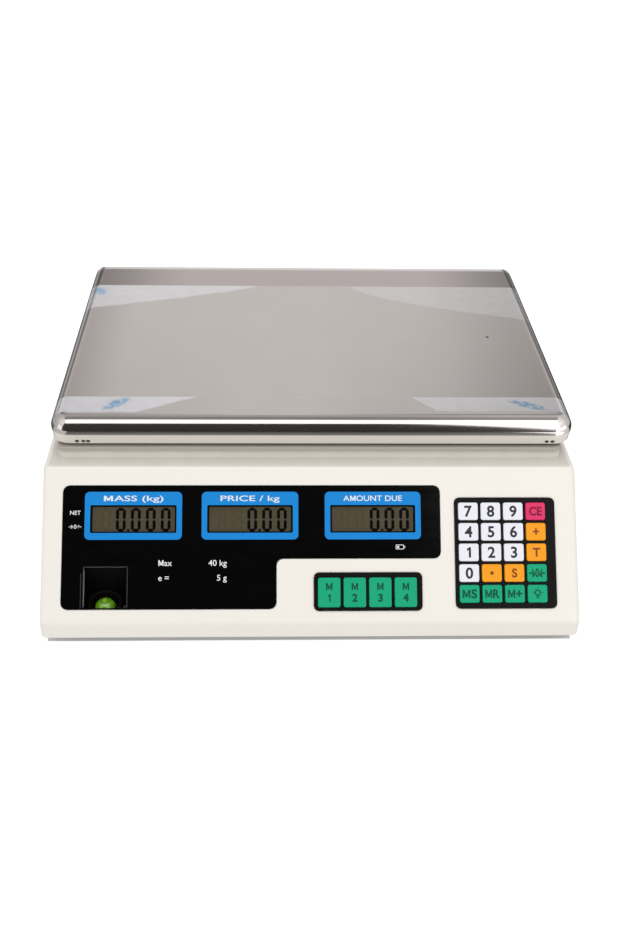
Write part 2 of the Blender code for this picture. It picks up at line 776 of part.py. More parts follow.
def make_battery():
    low = TRAY_TOP + 0.001
    middle = (*BATTERY_AT, low + BATTERY_SIZE[2] / 2)
    battery = box("battery", BATTERY_SIZE, middle, "battery_grey", corner=0.002, steps=1)
    for name, y in (("plus", -0.012), ("minus", 0.012)):
        at = (BATTERY_AT[0] + 0.042, BATTERY_AT[1] + y, low + BATTERY_SIZE[2] + 0.0025)
        join(battery, box(f"form_{name}_tab", (0.0008, 0.0048, 0.0065), at))
    cover_low = BODY_BOTTOM
    box(
        "battery_cover",
        (0.1112, 0.0812, 0.0012 - GAP),
        (*BATTERY_AT, cover_low + (0.0012 - GAP) / 2),
        "tray_grey",
        corner=0.002,
        steps=1,
    )


def make_power_switch():
    """The frame's flange lies on the underside, and the rocker rests tipped on."""
    flange_top = BODY_BOTTOM - GAP
    flange_low = flange_top - 0.0012
    frame = box(
        "power_switch_frame",
        (0.021, 0.015, 0.0012),
        (*SWITCH_AT, (flange_top + flange_low) / 2),
        "bezel_black",
        corner=0.0015,
        steps=1,
    )
    body = box("form_switch_body", (0.0190, 0.0130, 0.0150), (*SWITCH_AT, flange_low + 0.0077))
    well = box("cut_switch_well", (0.0168, 0.0108, 0.0180), (*SWITCH_AT, flange_low))
    join(frame, body)
    cut(frame, well)
    pivot = (*SWITCH_AT, flange_low + 0.0030)
    bm = box_bmesh((0.0150, 0.0098, 0.0062), (0, 0, -0.0016))
    edges = [edge for edge in bm.edges if not upright(edge)]
    bmesh.ops.bevel(bm, geom=edges, offset=0.0008, segments=2, profile=0.5, affect="EDGES")
    rocker = add_object("power_switch_rocker", mesh_from(bm, "power_switch_rocker"), "bezel_black", at=pivot)
    rocker.rotation_euler = (0, ROCKER_TILT, 0)


# ---- inside ------------------------------------------------------------------------------------
def make_level_vial():
    """A round vial with a domed top, upright on its post."""
    low, shoulder = 0.014, 0.020
    dome = list(arc((0, shoulder), VIAL_R, math.pi / 2, 0, 6))
    dome[0] = (0, shoulder + VIAL_R)
    turned("level_vial", [*dome, (VIAL_R, low), (0, low)], "vial_green", 24, (*VIAL_AT, 0))


def lead(name, points, radius, material):
    """A lead through these points, as a smooth curve sampled into short straight runs."""
    curve = bpy.data.curves.new(name, "CURVE")
    curve.dimensions = "3D"
    curve.bevel_depth = radius
    curve.bevel_resolution = 2
    curve.use_fill_caps = True
    route = smooth_route([Vector(point) for point in points], 6)
    spline = curve.splines.new("POLY")
    spline.points.add(len(route) - 1)
    for point, place in zip(spline.points, route):
        point.co = (*place, 1)
    curve.materials.append(bpy.data.materials[material])
    obj = bpy.data.objects.new(name, curve)
    PARTS.objects.link(obj)


def smooth_route(points, steps):
    """A Catmull-Rom curve through the points."""
    ends = [2 * points[0] - points[1], *points, 2 * points[-1] - points[-2]]
    route = []
    for a, b, c, d in zip(ends, ends[1:], ends[2:], ends[3:]):
        for step in range(steps):
            t = step / steps
            near = (2 * b) + (c - a) * t + (2 * a - 5 * b + 4 * c - d) * t**2
            route.append((near + (3 * b - a - 3 * c + d) * t**3) / 2)
    return route + [points[-1]]


def make_leads():
    behind = -0.0100  # how far behind the console's face a lead meets the main board
    cell_end = CONSOLE_FRAME @ Vector((-0.060, -0.030, behind))
    battery_end = CONSOLE_FRAME @ Vector((-0.020, -0.030, behind))
    cell_low = CELL_BOTTOM + 0.012
    left = -CELL_SIZE[0] / 2 - GAP - 0.0015
    lead(
        "load_cell_cable",
        [
            (left, CELL_Y, cell_low),
            (left - 0.012, CELL_Y - 0.004, cell_low + 0.006),
            (left - 0.014, CELL_Y - 0.028, 0.080),
            (-0.070, -0.040, 0.084),
            (-0.062, -0.082, 0.079),
            cell_end + Vector((0, 0.008, 0.002)),
            cell_end,
        ],
        0.0015,
        "cable_grey",
    )
    tab = Vector((BATTERY_AT[0] + 0.042, BATTERY_AT[1] - 0.012, TRAY_TOP + BATTERY_SIZE[2] + 0.0092))
    lead(
        "battery_lead",
        [
            tab,
            tab + Vector((0, -0.002, 0.008)),
            tab + Vector((0.004, -0.030, 0.010)),
            battery_end + Vector((0, 0.010, 0.002)),
            battery_end,
        ],
        0.0012,
        "cable_red",
    )


# ---- build -------------------------------------------------------------------------------------
def shade_parts():
    for obj in PARTS.objects:
        if obj.type == "MESH":
            obj.data.shade_smooth()
            obj.data.set_sharp_from_angle(angle=math.radians(35))


def main():
    make_top_housing()
    make_base_tray()
    make_display_lens()
    make_lcds()
    make_boards()
    make_bezels()
    make_keys()
    make_rear_display()
    make_power_inlet()
    make_load_cell()
    make_pan_support()
    make_pan_pads()
    make_pan()
    make_feet()
    make_battery()
    make_power_switch()
    make_level_vial()
    make_leads()
    shade_parts()


main()
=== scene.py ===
"""The looks of a retail price scale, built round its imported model.

The case, keys and inner parts are the model's own nodes with finished materials. The pan, the level's
vial and the load cell are replaced by finer meshes, and the printing, display digits, key legends,
screws and small fittings are added. Lengths are in metres.
"""

import json
import re
from math import atan2, cos, pi, radians, sin, tan

import bmesh
import bpy
from mathutils import Matrix, Vector


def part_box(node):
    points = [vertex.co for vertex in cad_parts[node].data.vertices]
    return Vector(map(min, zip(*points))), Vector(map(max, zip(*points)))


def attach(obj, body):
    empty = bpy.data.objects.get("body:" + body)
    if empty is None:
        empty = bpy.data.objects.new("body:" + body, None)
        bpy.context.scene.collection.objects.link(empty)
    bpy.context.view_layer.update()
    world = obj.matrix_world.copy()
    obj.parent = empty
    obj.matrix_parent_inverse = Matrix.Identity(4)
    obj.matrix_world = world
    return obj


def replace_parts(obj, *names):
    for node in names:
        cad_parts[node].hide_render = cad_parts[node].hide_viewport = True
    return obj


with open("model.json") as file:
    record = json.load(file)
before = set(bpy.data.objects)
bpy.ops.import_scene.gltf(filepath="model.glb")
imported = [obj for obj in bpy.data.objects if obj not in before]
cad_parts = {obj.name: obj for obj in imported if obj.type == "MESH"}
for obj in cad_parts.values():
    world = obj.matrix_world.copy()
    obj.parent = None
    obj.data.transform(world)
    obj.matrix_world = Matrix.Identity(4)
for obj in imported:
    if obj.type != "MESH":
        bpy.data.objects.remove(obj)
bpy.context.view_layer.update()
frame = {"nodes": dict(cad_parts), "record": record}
NODES = frame["nodes"]
SLOTS = {part["node"]: part["material_slot"] for part in frame["record"]["subparts"]}

# ---- places on the object ----
PRINT = 0.00005  # how far printing stands over the face it is on

# Each display's name, its heading and the number that it shows.
DISPLAYS = (
    ("weight", "MASS (kg)", "0.000"),
    ("unit_price", "PRICE / kg", "0.00"),
    ("total_price", "AMOUNT DUE", "0.00"),
)
DISPLAY_CELLS = 5  # places in each display, lit or not
DIGIT_SIZE = (0.0062, 0.0152)
DIGIT_STROKE = 0.0019
DIGIT_PITCH = 0.00943
DIGIT_MARGIN = 0.0037  # from the last digit to the right edge of the window
DIGIT_DROP = 0.0003  # from the middle of the window down to its digits'
POINT_RADIUS = DIGIT_STROKE * 0.42
SEGMENT_GAP = 0.00009  # from a bar's tip to its corner
EDGE_SHADE_LAP = 0.0016  # how much wider and taller than its window the shade painted round a display's window is
WINDOW_SIZE = (0.0540, 0.0173)
FRAME_SIZE = (0.0613, 0.0304)
FRAME_RISE = 0.0021  # from the middle of the window up to its printed frame's
HEADING_RISE = 0.0131  # and up to its heading's
HEADING_HEIGHT = 0.0034
HEADING_WIDTH = 0.0375
LEVEL_WINDOW = (0.0272, 0.0255)
LEVEL_WINDOW_X = -0.1298
LEVEL_WINDOW_DROP = 0.0431  # from the middle of the first display down to this window's
LEVEL_LINE = 0.00035

# Small printing on the lens, placed across from its left edge and down from the first display's middle.
CAPACITY = (("Max", "40 kg", 0.0278), ("e =", "5 g", 0.0371))
CAPACITY_NAME_X = 0.0605
CAPACITY_VALUE_X = 0.1035
CAPACITY_PRINT = 0.0036
MARKS = (("NET", -0.0040), ("→0←", 0.0048))
MARK_X = 0.0079
MARK_PRINT = 0.0025
BATTERY_MARK = (0.0170, -0.0180)  # from the middle of the last display

DIGIT_LEGEND = 0.0066  # height of a numeral on a key
DIGIT_BOLD = 0.00024
WORD_LEGEND = 0.0052
WORD_BOLD = 0.00025
MEMORY_LEGEND = 0.0045
MEMORY_BOLD = 0.00027
MEMORY_RISE = (0.0037, -0.0034)  # of the letter and the numeral, from the middle of a memory key
KEY_LEGENDS = {
    "clear": "CE", "add": "+", "tare": "T", "point": "•", "save": "S", "zero": "→0←",
    "memory_store": "MS", "memory_recall": "MR", "memory_add": "M+",
}
WIDE_LEGENDS = {"CE": 0.0082, "→0←": 0.0100, "MS": 0.0092, "MR": 0.0092, "M+": 0.0092}

NECK = (0.1625, -0.0875)  # the side and the front of the case's neck under the pan
BASE_SCREWS = [(x, y) for x in (-0.155, 0.155) for y in (-0.100, 0.040, 0.105)]
BASE_SCREWS += [(-0.050, 0.022), (-0.050, 0.040)]
BASE_SCREW_SEAT = 0.0107
BASE_SCREW = (0.0031, 0.0017)  # radius and height of its head
SUPPORT_SCREWS = [(0.050, 0.022), (0.050, 0.040)]
SUPPORT_SCREW = (0.0034, 0.0022)
HUB_EDGE = 0.0345  # where the hub of the pan's support starts on the load cell
HUB_RELIEF = 0.0006
HUB_RAMP = 0.0005  # along the load cell, down to the relief

PAN_SHEET = 0.0009
PAN_ROUND = 0.0101  # of the pan's upper edge
PAN_FRONT_CORNER = 0.0130
PAN_REAR_CORNER = 0.0070
FRONT_CREASE = 0.030  # from the pan's front edge to its first shallow crease
REAR_CREASE = 0.044  # from the pan's rear edge to the other
CREASE_SLOPE = radians(1.2)
ROLL_OFF = 0.014  # from the rear edge to where the sheet starts to curve down
ROLL_CURVE = 0.34  # the square of a length on that curve, over its drop
HEM = 0.0103  # down the pan's side to its hem, which leans in
HEM_LEAN = 0.0009
HEM_CLEAR = 0.0006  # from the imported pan's lowest edge up to the hem's
SPECK_AT = (0.1286, -0.0063)  # from the pan's middle
PITS = (0.1508, 0.1545, -0.1508, -0.1468, -0.1438)  # across from the pan's middle
PIT_RISE = 0.0028  # up from the hem

WELL = (Vector((-0.1444, -0.1580)), Vector((-0.1166, -0.1346)))  # its corners, round the level
WELL_WALL = 0.0006
WELL_FLOOR = 0.0012  # down from the level's vial
WELL_TOP = 0.0029  # under the console's face
HOLDER_TOP = 0.0032
LEVEL_RING = (1.22, 1.16)  # radians up the dome
BUBBLE_EDGE = 1.33


def local_box(node, place):
    """(lowest corner, highest corner) of a node, measured along the axes of this place."""
    inverse = place.inverted()
    points = [inverse @ vert.co for vert in NODES[node].data.vertices]
    low = Vector(min(point[axis] for point in points) for axis in range(3))
    high = Vector(max(point[axis] for point in points) for axis in range(3))
    return low, high


def middle(node, place):
    low, high = local_box(node, place)
    return (low + high) / 2


def console_place():
    """On the console's lens: x across, y up the slope, z out of the face, from the lens's upper edge."""
    lens = NODES["display_lens"].data
    outward = max(lens.polygons, key=lambda face: face.area * (face.normal.z > 0.3)).normal
    slope = atan2(-outward.y, outward.z)
    turn = Matrix.Rotation(slope, 4, "X")
    _, high = local_box("display_lens", turn)
    return turn @ Matrix.Translation((0, high.y, high.z))


def rear_place():
    """On the rear lens: x towards the object's left, y up, z out of the back."""
    turn = Matrix.Rotation(pi, 4, "Z") @ Matrix.Rotation(pi / 2, 4, "X")
    at = middle("rear_lens", Matrix.Identity(4))
    at.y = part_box("rear_lens")[1].y
    return Matrix.Translation(at) @ turn


CONSOLE = console_place()
REAR = rear_place()


# ---- materials ----
class Nodes:
    """Short calls that make and feed the nodes of one tree."""

    def __init__(self, tree):
        self.tree = tree

    def feed(self, socket, value):
        """Gives a socket its value or its link."""
        if isinstance(value, bpy.types.NodeSocket):
            self.tree.links.new(value, socket)
        else:
            socket.default_value = value

    def node(self, kind, inputs=(), **settings):
        node = self.tree.nodes.new("ShaderNode" + kind)
        for key, value in settings.items():
            setattr(node, key, value)
        for key, value in dict(inputs).items():
            self.feed(node.inputs[key], value)
        return node

    def math(self, operation, first, second=0.0, clamp=False):
        inputs = {0: first, 1: second}
        return self.node("Math", inputs, operation=operation, use_clamp=clamp).outputs[0]

    def plus(self, first, second, clamp=False):
        return self.math("ADD", first, second, clamp)

    def minus(self, first, second):
        return self.math("SUBTRACT", first, second)

    def times(self, first, second, clamp=False):
        return self.math("MULTIPLY", first, second, clamp)

    def past(self, value, start):
        """How far a value has gone past its start, and 0 before it."""
        return self.math("MAXIMUM", self.minus(value, start), 0.0)

    def share(self, value, low, high, **settings):
        """0 at low, 1 at high, and a straight line between."""
        inputs = {"Value": value, "From Min": low, "From Max": high}
        return self.node("MapRange", inputs, **settings).outputs["Result"]

    def ease(self, value, low, high):
        """0 at low, 1 at high, and a smooth step between."""
        return self.share(value, low, high, interpolation_type="SMOOTHSTEP")

    def between(self, value, low, high):
        """The value, from 0 to 1, spread over low to high."""
        inputs = {"Value": value, "To Min": low, "To Max": high}
        return self.node("MapRange", inputs).outputs["Result"]

    def mix(self, factor, first, second):
        """The first colour, turning into the second as the factor goes to 1."""
        mix = self.node("Mix", data_type="RGBA")
        for socket, value in zip((mix.inputs[0], mix.inputs[6], mix.inputs[7]), (factor, first, second)):
            self.feed(socket, (*value, 1.0) if isinstance(value, tuple) else value)
        return mix.outputs[2]


class Shader(Nodes):
    """A material with one Principled shader, and the patterns that feed it."""

    def __init__(self, name, colour, roughness, **sockets):
        self.name = name
        self.material = bpy.data.materials.new(name)
        self.material.use_nodes = True
        self.material.diffuse_color = (*colour, 1.0)
        super().__init__(self.material.node_tree)
        self.surface = self.tree.nodes["Principled BSDF"]
        self.set("Base Color", (*colour, 1.0))
        self.set("Roughness", roughness)
        for socket, value in sockets.items():
            self.set(socket.replace("_", " "), value)
        self.coordinates = self.node("TexCoord").outputs["Object"]

    def set(self, socket, value):
        """Gives a socket of the surface its value or its link."""
        self.feed(self.surface.inputs[socket], value)

    def tint(self, factor, first, second):
        """The surface's colour: the first, turning into the second as the factor goes to 1."""
        self.set("Base Color", self.mix(factor, first, second))

    def polish(self, factor, low, high):
        """The surface's roughness: low, rising to high as the factor goes to 1."""
        self.set("Roughness", self.between(factor, low, high))

    def axes(self):
        """The object's own x, y and z."""
        return self.node("SeparateXYZ", {"Vector": self.coordinates}).outputs

    def noise(self, scale, detail=2.0, stretch=(1, 1, 1)):
        """Noise of this many features a metre, squeezed along each axis by stretch."""
        mapped = self.node("Mapping", {"Vector": self.coordinates, "Scale": stretch}).outputs[0]
        return self.node("TexNoise", {"Vector": mapped, "Scale": scale, "Detail": detail}).outputs["Fac"]

    def bump(self, height, depth, rounding=0.0):
        """Relief of this depth, in metres. Rounding softens the mesh's own edges as well."""
        inputs = {"Height": height, "Distance": depth, "Strength": 1.0}
        if rounding:
            inputs["Normal"] = self.node("Bevel", {"Radius": rounding}, samples=4).outputs[0]
        self.set("Normal", self.node("Bump", inputs).outputs[0])


def shade(colour, factor):
    return tuple(min(1.0, channel * factor) for channel in colour)


def plastic(name, colour, roughness, grain=1800, depth=0.00001, spread=0.04, rounding=0.0, **sockets):
    """Moulded plastic: a fine spark-eroded grain, and slight drifts of tone and gloss."""
    shader = Shader(name, colour, roughness, **sockets)
    drift = shader.noise(14, 3)
    shader.tint(drift, shade(colour, 1 - spread), shade(colour, 1 + spread))
    shader.polish(shader.noise(60, 4), roughness - 0.07, roughness + 0.07)
    shader.bump(shader.noise(grain, 2), depth, rounding)
    return shader


def case_plastic():
    """The case's warm white ABS, a little yellower in broad patches and scuffed lighter in fine ones, with
    shade painted round the pan's neck.
    """
    colour = (0.90, 0.865, 0.805)
    shader = Shader("case_white", colour, 0.42, Specular_IOR_Level=0.42)
    aged = shader.mix(shader.noise(9, 3), shade(colour, 0.985), (0.91, 0.868, 0.795))
    scuffs = shader.ease(shader.noise(220, 6, (1, 1, 0.35)), 0.66, 0.80)
    aged = shader.mix(shader.times(scuffs, 0.25), aged, (0.80, 0.765, 0.70))
    # Painted shade: the ledge and the neck's wall darken towards the neck, fading out over the ledge.
    shader.tint(neck_painted_shade(shader), aged, (0.42, 0.385, 0.34))
    shader.polish(shader.noise(80, 5), 0.34, 0.50)
    shader.bump(shader.noise(2200, 2), 0.000012, rounding=0.0007)
    return shader


# Painted shade round the neck, where the pan above keeps light off: where it starts and is full, outwards
# from the neck and up.
SHADE_EDGE = (0.021, -0.002)
SHADE_INNER_EDGE = (-0.026, -0.008)
LEDGE = (0.0945, 0.0949)
NECK_FOOT = (0.0951, 0.0956)
NECK_WALL = (0.0980, 0.1036)
LEDGE_SHADE = 0.56
FOOT_SHADE = -0.14
WALL_SHADE = 0.88


def neck_painted_shade(shader):
    """Shade painted on the flat round the pan's neck and up its wall, where the pan above keeps light off,
    uneven in strength.
    """
    x, y, z = shader.axes()
    beside = shader.minus(shader.math("ABSOLUTE", x), NECK[0])
    away = shader.math("MAXIMUM", beside, shader.minus(NECK[1], y))
    near = shader.times(shader.ease(away, *SHADE_EDGE), shader.ease(away, *SHADE_INNER_EDGE))
    amount = shader.plus(LEDGE_SHADE, shader.times(shader.ease(z, *NECK_FOOT), FOOT_SHADE))
    amount = shader.plus(amount, shader.times(shader.ease(z, *NECK_WALL), WALL_SHADE))
    uneven = shader.between(shader.noise(70, 4), 0.85, 1.15)
    shaded = shader.times(shader.times(amount, near), uneven)
    return shader.times(shaded, shader.ease(z, *LEDGE), clamp=True)


def gloss_black():
    """The lens's black print under clear acrylic, with faint wiping marks in its gloss."""
    black = (0.0012, 0.0012, 0.0014)
    shader = Shader("overlay_black", black, 0.1, Specular_IOR_Level=0.20)
    wiped = shader.noise(260, 5, (0.15, 1, 1))
    shader.polish(wiped, 0.09, 0.22)
    dust = shader.ease(shader.noise(2600, 1), 0.80, 0.86)
    shader.tint(dust, black, (0.010, 0.010, 0.010))
    return shader


def lcd_glass():
    """A reflective display's olive ground, mottled by its polariser."""
    shader = Shader("lcd", (0.080, 0.065, 0.036), 0.3, Specular_IOR_Level=0.15)
    mottle = shader.noise(420, 3)
    shader.tint(mottle, (0.066, 0.053, 0.029), (0.098, 0.080, 0.045))
    shader.bump(shader.noise(3000, 1), 0.000002)
    return shader


def ink(name, colour, roughness=0.4, gloss=0.12):
    """Screen-printed ink: slightly uneven in tone, with a soft gloss."""
    shader = Shader(name, colour, roughness, Specular_IOR_Level=gloss)
    body = shader.noise(900, 3)
    shader.tint(body, shade(colour, 0.93), shade(colour, 1.05))
    shader.polish(shader.noise(500, 2), roughness - 0.05, roughness + 0.08)
    return shader


def metal(name, colour, roughness, grain=(1, 1, 1), scale=500, depth=0.000004, rounding=0.0):
    """Metal with a grain drawn out along the axes where its stretch is small."""
    shader = Shader(name, colour, roughness, Metallic=1.0)
    drawn = shader.noise(scale, 4, grain)
    shader.tint(drawn, shade(colour, 0.9), shade(colour, 1.08))
    shader.polish(drawn, max(0.05, roughness - 0.08), roughness + 0.08)
    shader.bump(drawn, depth, rounding)
    return shader


# Film left at each corner of the pan: its side, the line that it starts from, its tip and where it is
# deepest from the middle, its greatest depth, how its free edge bends, and how strongly it shows.
FILM = (
    (-1, 0.0770, 0.036, 0.1655, 0.041, 0.8, 0.74),
    (1, 0.0770, 0.034, 0.1600, 0.056, 0.6, 0.36),
    (-1, -0.0910, 0.0745, 0.1135, 0.0195, 1.0, 1.0),
    (1, -0.0910, 0.0640, 0.0800, 0.0175, 1.0, 0.80),
)
# Blue smears in the film: middle x and y, half length, half width, and turn in degrees.
SMEARS = (
    (-0.1275, -0.0997, 0.0120, 0.0052, 40),
    (0.1400, -0.1004, 0.0150, 0.0042, -24),
    (-0.1590, 0.0665, 0.0085, 0.0055, -60),
)


def film_traces(shader, x, y):
    """1 on each wedge of film: from its straight rear edge forward, narrowing to its tip."""
    ragged = shader.times(shader.minus(shader.noise(90, 3), 0.5), 0.004)
    total = 0.0
    for side, line, tip, full, depth, bend, strength in FILM:
        along = shader.share(shader.times(x, side), tip, full)
        growth = shader.times(shader.math("POWER", along, bend), depth)
        behind = shader.minus(line, y)
        edge = shader.plus(shader.minus(growth, behind), ragged)
        inside = shader.times(shader.ease(behind, 0.0, 0.0006), shader.ease(edge, -0.0006, 0.0022))
        total = shader.plus(total, shader.times(inside, strength), clamp=True)
    thinned = shader.between(shader.noise(120, 4), 0.55, 1.1)
    return shader.times(total, thinned, clamp=True)


def film_smears(shader, x, y):
    """Soft, broken ellipses."""
    total = 0.0
    for at_x, at_y, length, width, turn in SMEARS:
        cosine, sine = cos(radians(turn)), sin(radians(turn))
        from_x, from_y = shader.minus(x, at_x), shader.minus(y, at_y)
        along = shader.plus(shader.times(from_x, cosine / length), shader.times(from_y, sine / length))
        across = shader.minus(shader.times(from_y, cosine / width), shader.times(from_x, sine / width))
        reach = shader.plus(shader.times(along, along), shader.times(across, across))
        total = shader.plus(total, shader.ease(reach, 1.1, 0.1), clamp=True)
    return shader.times(total, shader.ease(shader.noise(260, 3), 0.30, 0.58))


# The steel's tones, and where each starts and is full, measured from the pan's middle. The strip, side and
# rear tones are painted reflections of the studio; the film, smear and hem tones are the steel's own.
FRONT_STRIP = (0.0904, 0.0914)
STRIP_RIGHT = (0.035, 0.140)
STRIP_RIGHT_REFLECTION = (0.690, 0.645, 0.625)
RIGHT_SIDE = (0.075, 0.168)
LEFT_SIDE = (0.122, 0.168)
SIDE_REFLECTION = (0.390, 0.352, 0.338)
REAR_STRIP = (0.0768, 0.0772)
REAR_STRIP_REFLECTION = (0.440, 0.380, 0.370)
REAR_ENDS = (0.085, 0.172)
REAR_END_REFLECTION = (0.175, 0.148, 0.143)
REAR_EDGE = (0.1060, 0.1130)
REAR_EDGE_HIGHLIGHT = (0.830, 0.805, 0.795)
FILM_TONE = (0.790, 0.775, 0.815)
SMEAR_TONE = (0.250, 0.430, 0.620)
HEM_TONE = (0.800, 0.745, 0.670)


def pan_steel():
    """Polished stainless sheet with a faint satin grain, film left at its corners, a duller hem, and painted
    reflections in strips along its front, sides and rear.
    """
    shader = Shader("steel", (0.535, 0.505, 0.488), 0.1, Metallic=1.0)
    x, y, z = shader.axes()
    left, front, down = (shader.times(axis, -1) for axis in (x, y, z))
    tone = shader.mix(shader.noise(26, 5), (0.508, 0.468, 0.452), (0.552, 0.512, 0.492))
    # Painted reflections: a lighter strip at the front right, darker sides, a darker rear strip with darker
    # ends and a lighter rear edge.
    strip = shader.ease(front, *FRONT_STRIP)
    tone = shader.mix(shader.times(shader.ease(x, *STRIP_RIGHT), strip), tone, STRIP_RIGHT_REFLECTION)
    sides = shader.plus(shader.ease(x, *RIGHT_SIDE), shader.ease(left, *LEFT_SIDE))
    tone = shader.mix(shader.times(sides, shader.minus(1.0, strip)), tone, SIDE_REFLECTION)
    ends = shader.ease(shader.math("ABSOLUTE", x), *REAR_ENDS)
    rear = shader.mix(ends, REAR_STRIP_REFLECTION, REAR_END_REFLECTION)
    rear = shader.mix(shader.ease(y, *REAR_EDGE), rear, REAR_EDGE_HIGHLIGHT)
    tone = shader.mix(shader.ease(y, *REAR_STRIP), tone, rear)
    film = film_traces(shader, x, y)
    tone = shader.mix(shader.times(film, 0.9), tone, FILM_TONE)
    tone = shader.mix(film_smears(shader, x, y), tone, SMEAR_TONE)
    hem = shader.ease(down, HEM, HEM + 0.0009)
    shader.tint(hem, tone, HEM_TONE)
    shader.set("Metallic", shader.between(hem, 1.0, 0.25))
    satin = shader.noise(700, 4, (0.04, 1, 1))
    worn = shader.plus(shader.between(satin, 0.07, 0.15), shader.times(film, 0.12))
    shader.set("Roughness", shader.plus(worn, shader.times(hem, 0.25)))
    shader.bump(satin, 0.0000012)
    return shader


def vial_acrylic():
    """Clear green acrylic, with faint wear in its gloss."""
    shader = Shader("vial_green", (0.17, 0.42, 0.012), 0.05, IOR=1.47, Coat_Weight=1.0)
    shader.polish(shader.noise(300, 2), 0.05, 0.10)
    return shader


def circuit_board():
    """Green solder mask, with lighter tracks showing through it."""
    shader = Shader("board_green", (0.010, 0.110, 0.040), 0.35)
    tracks = shader.ease(shader.noise(420, 0, (1, 0.12, 0.12)), 0.50, 0.53)
    shader.tint(tracks, (0.008, 0.090, 0.032), (0.020, 0.170, 0.060))
    shader.bump(tracks, 0.00003)
    return shader


# Each key plastic's colour, and how far its tone drifts.
KEY_PLASTICS = (
    ("key_white", (0.86, 0.86, 0.93), 0.02),
    ("key_pink", (0.78, 0.032, 0.150), 0.06),
    ("key_orange", (1.0, 0.365, 0.006), 0.05),
    ("key_green", (0.0005, 0.400, 0.200), 0.08),
)
LOOKS = [
    case_plastic(),
    plastic("tray_grey", (0.52, 0.51, 0.48), 0.55, grain=1500, depth=0.00002, rounding=0.0005),
    pan_steel(),
    gloss_black(),
    plastic("bezel_black", (0.004, 0.003, 0.004), 0.42, 2600, 0.000008, Specular_IOR_Level=0.12),
    lcd_glass(),
    plastic("silicone", (0.45, 0.46, 0.47), 0.6, grain=900),
    circuit_board(),
    metal("aluminium", (0.66, 0.67, 0.69), 0.34, (0.05, 1, 1), 900, rounding=0.0004),
    metal("cast_grey", (0.34, 0.35, 0.36), 0.52, scale=1300, depth=0.00006, rounding=0.0006),
    plastic("rubber", (0.018, 0.018, 0.018), 0.75, grain=1300, depth=0.00003, spread=0.2),
    plastic("battery_case", (0.09, 0.09, 0.10), 0.5),
    vial_acrylic(),
    metal("zinc", (0.60, 0.60, 0.58), 0.32, scale=700, rounding=0.0003),
    plastic("cable_grey", (0.16, 0.16, 0.17), 0.5),
    plastic("cable_red", (0.50, 0.02, 0.02), 0.5),
    ink("ink_blue", (0.003, 0.245, 0.700)),
    ink("ink_white", (0.84, 0.86, 0.88)),
    ink("ink_line_grey", (0.055, 0.060, 0.068)),
    ink("lcd_digits", (0.0022, 0.0022, 0.0018), gloss=0.03),
    ink("lcd_unlit", (0.074, 0.060, 0.033)),
    # Painted shade round each display's window.
    ink("lcd_mask", (0.003, 0.003, 0.003), gloss=0.05),
    ink("level_bubble", (0.330, 0.560, 0.060), 0.2),
    ink("ink_on_white", (0.035, 0.036, 0.042)),
    ink("ink_on_pink", (0.26, 0.008, 0.035)),
    ink("ink_on_orange", (0.30, 0.070, 0.010)),
    ink("ink_on_green", (0.001, 0.100, 0.045)),
]
for slot, colour, spread in KEY_PLASTICS:
    LOOKS.append(plastic(slot, colour, 0.38, grain=2600, spread=spread, Specular_IOR_Level=0.16))
SHADERS = {shader.name: shader for shader in LOOKS}


def dress_nodes():
    """Gives every node of the model the finished material of its slot."""
    for name, node in NODES.items():
        for holder in node.material_slots:
            holder.material = SHADERS[SLOTS[name]].material


# ---- making pieces ----
def place_at(x=0.0, y=0.0, z=0.0):
    return Matrix.Translation((x, y, z))


def top_middle(low, high):
    """The middle of a box's top."""
    return place_at((low.x + high.x) / 2, (low.y + high.y) / 2, high.z)


def linked(name, data):
    obj = bpy.data.objects.new(name, data)
    bpy.context.scene.collection.objects.link(obj)
    return obj


def add_piece(mesh, slot, place=None, ink=None, body="root", sharp=None):
    """A piece that rides on a body, with the finish of one of the record's slots or an ink over it."""
    obj = linked(mesh.name, mesh)
    obj.matrix_world = place or Matrix.Identity(4)
    mesh.materials.clear()
    mesh.materials.append(SHADERS[ink or slot].material)
    if sharp:
        mesh.shade_smooth()
        mesh.set_sharp_from_angle(angle=radians(sharp))
    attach(obj, body)
    return obj


def mesh_from(bm, name):
    bmesh.ops.recalc_face_normals(bm, faces=bm.faces)
    mesh = bpy.data.meshes.new(name)
    bm.to_mesh(mesh)
    bm.free()
    return mesh


def curve_mesh(curve):
    """The mesh of a curve or text, with its loose caps welded to its sides."""
    holder = linked(curve.name, curve)
    bpy.context.view_layer.update()
    mesh = bpy.data.meshes.new_from_object(holder.evaluated_get(bpy.context.evaluated_depsgraph_get()))
    bpy.data.objects.remove(holder)
    bm = bmesh.new()
    bm.from_mesh(mesh)
    bpy.data.meshes.remove(mesh)
    bmesh.ops.remove_doubles(bm, verts=bm.verts, dist=0.000001)
    return mesh_from(bm, curve.name)


def joined(name, parts):
    """One mesh from several, each with the matrix that puts it in place."""
    bm = bmesh.new()
    for mesh, matrix in parts:
        mesh.transform(matrix)
        bm.from_mesh(mesh)
    mesh = bpy.data.meshes.new(name)
    bm.to_mesh(mesh)
    bm.free()
    return mesh


def sheet(name, outlines, low, high):
    """A flat sheet from height low to high, from outer outlines and any holes in them."""
    curve = bpy.data.curves.new(name, "CURVE")
    curve.dimensions = "2D"
    curve.fill_mode = "BOTH"
    curve.extrude = (high - low) / 2
    for outline in outlines:
        spline = curve.splines.new("POLY")
        spline.points.add(len(outline) - 1)
        for point, (x, y) in zip(spline.points, outline):
            point.co = (x, y, 0, 1)
        spline.use_cyclic_u = True
    mesh = curve_mesh(curve)
    mesh.transform(Matrix.Translation((0, 0, (low + high) / 2)))
    return mesh


def pairs(ring):
    """Each item with the next, and the last with the first."""
    return list(zip(ring, [*ring[1:], ring[0]]))


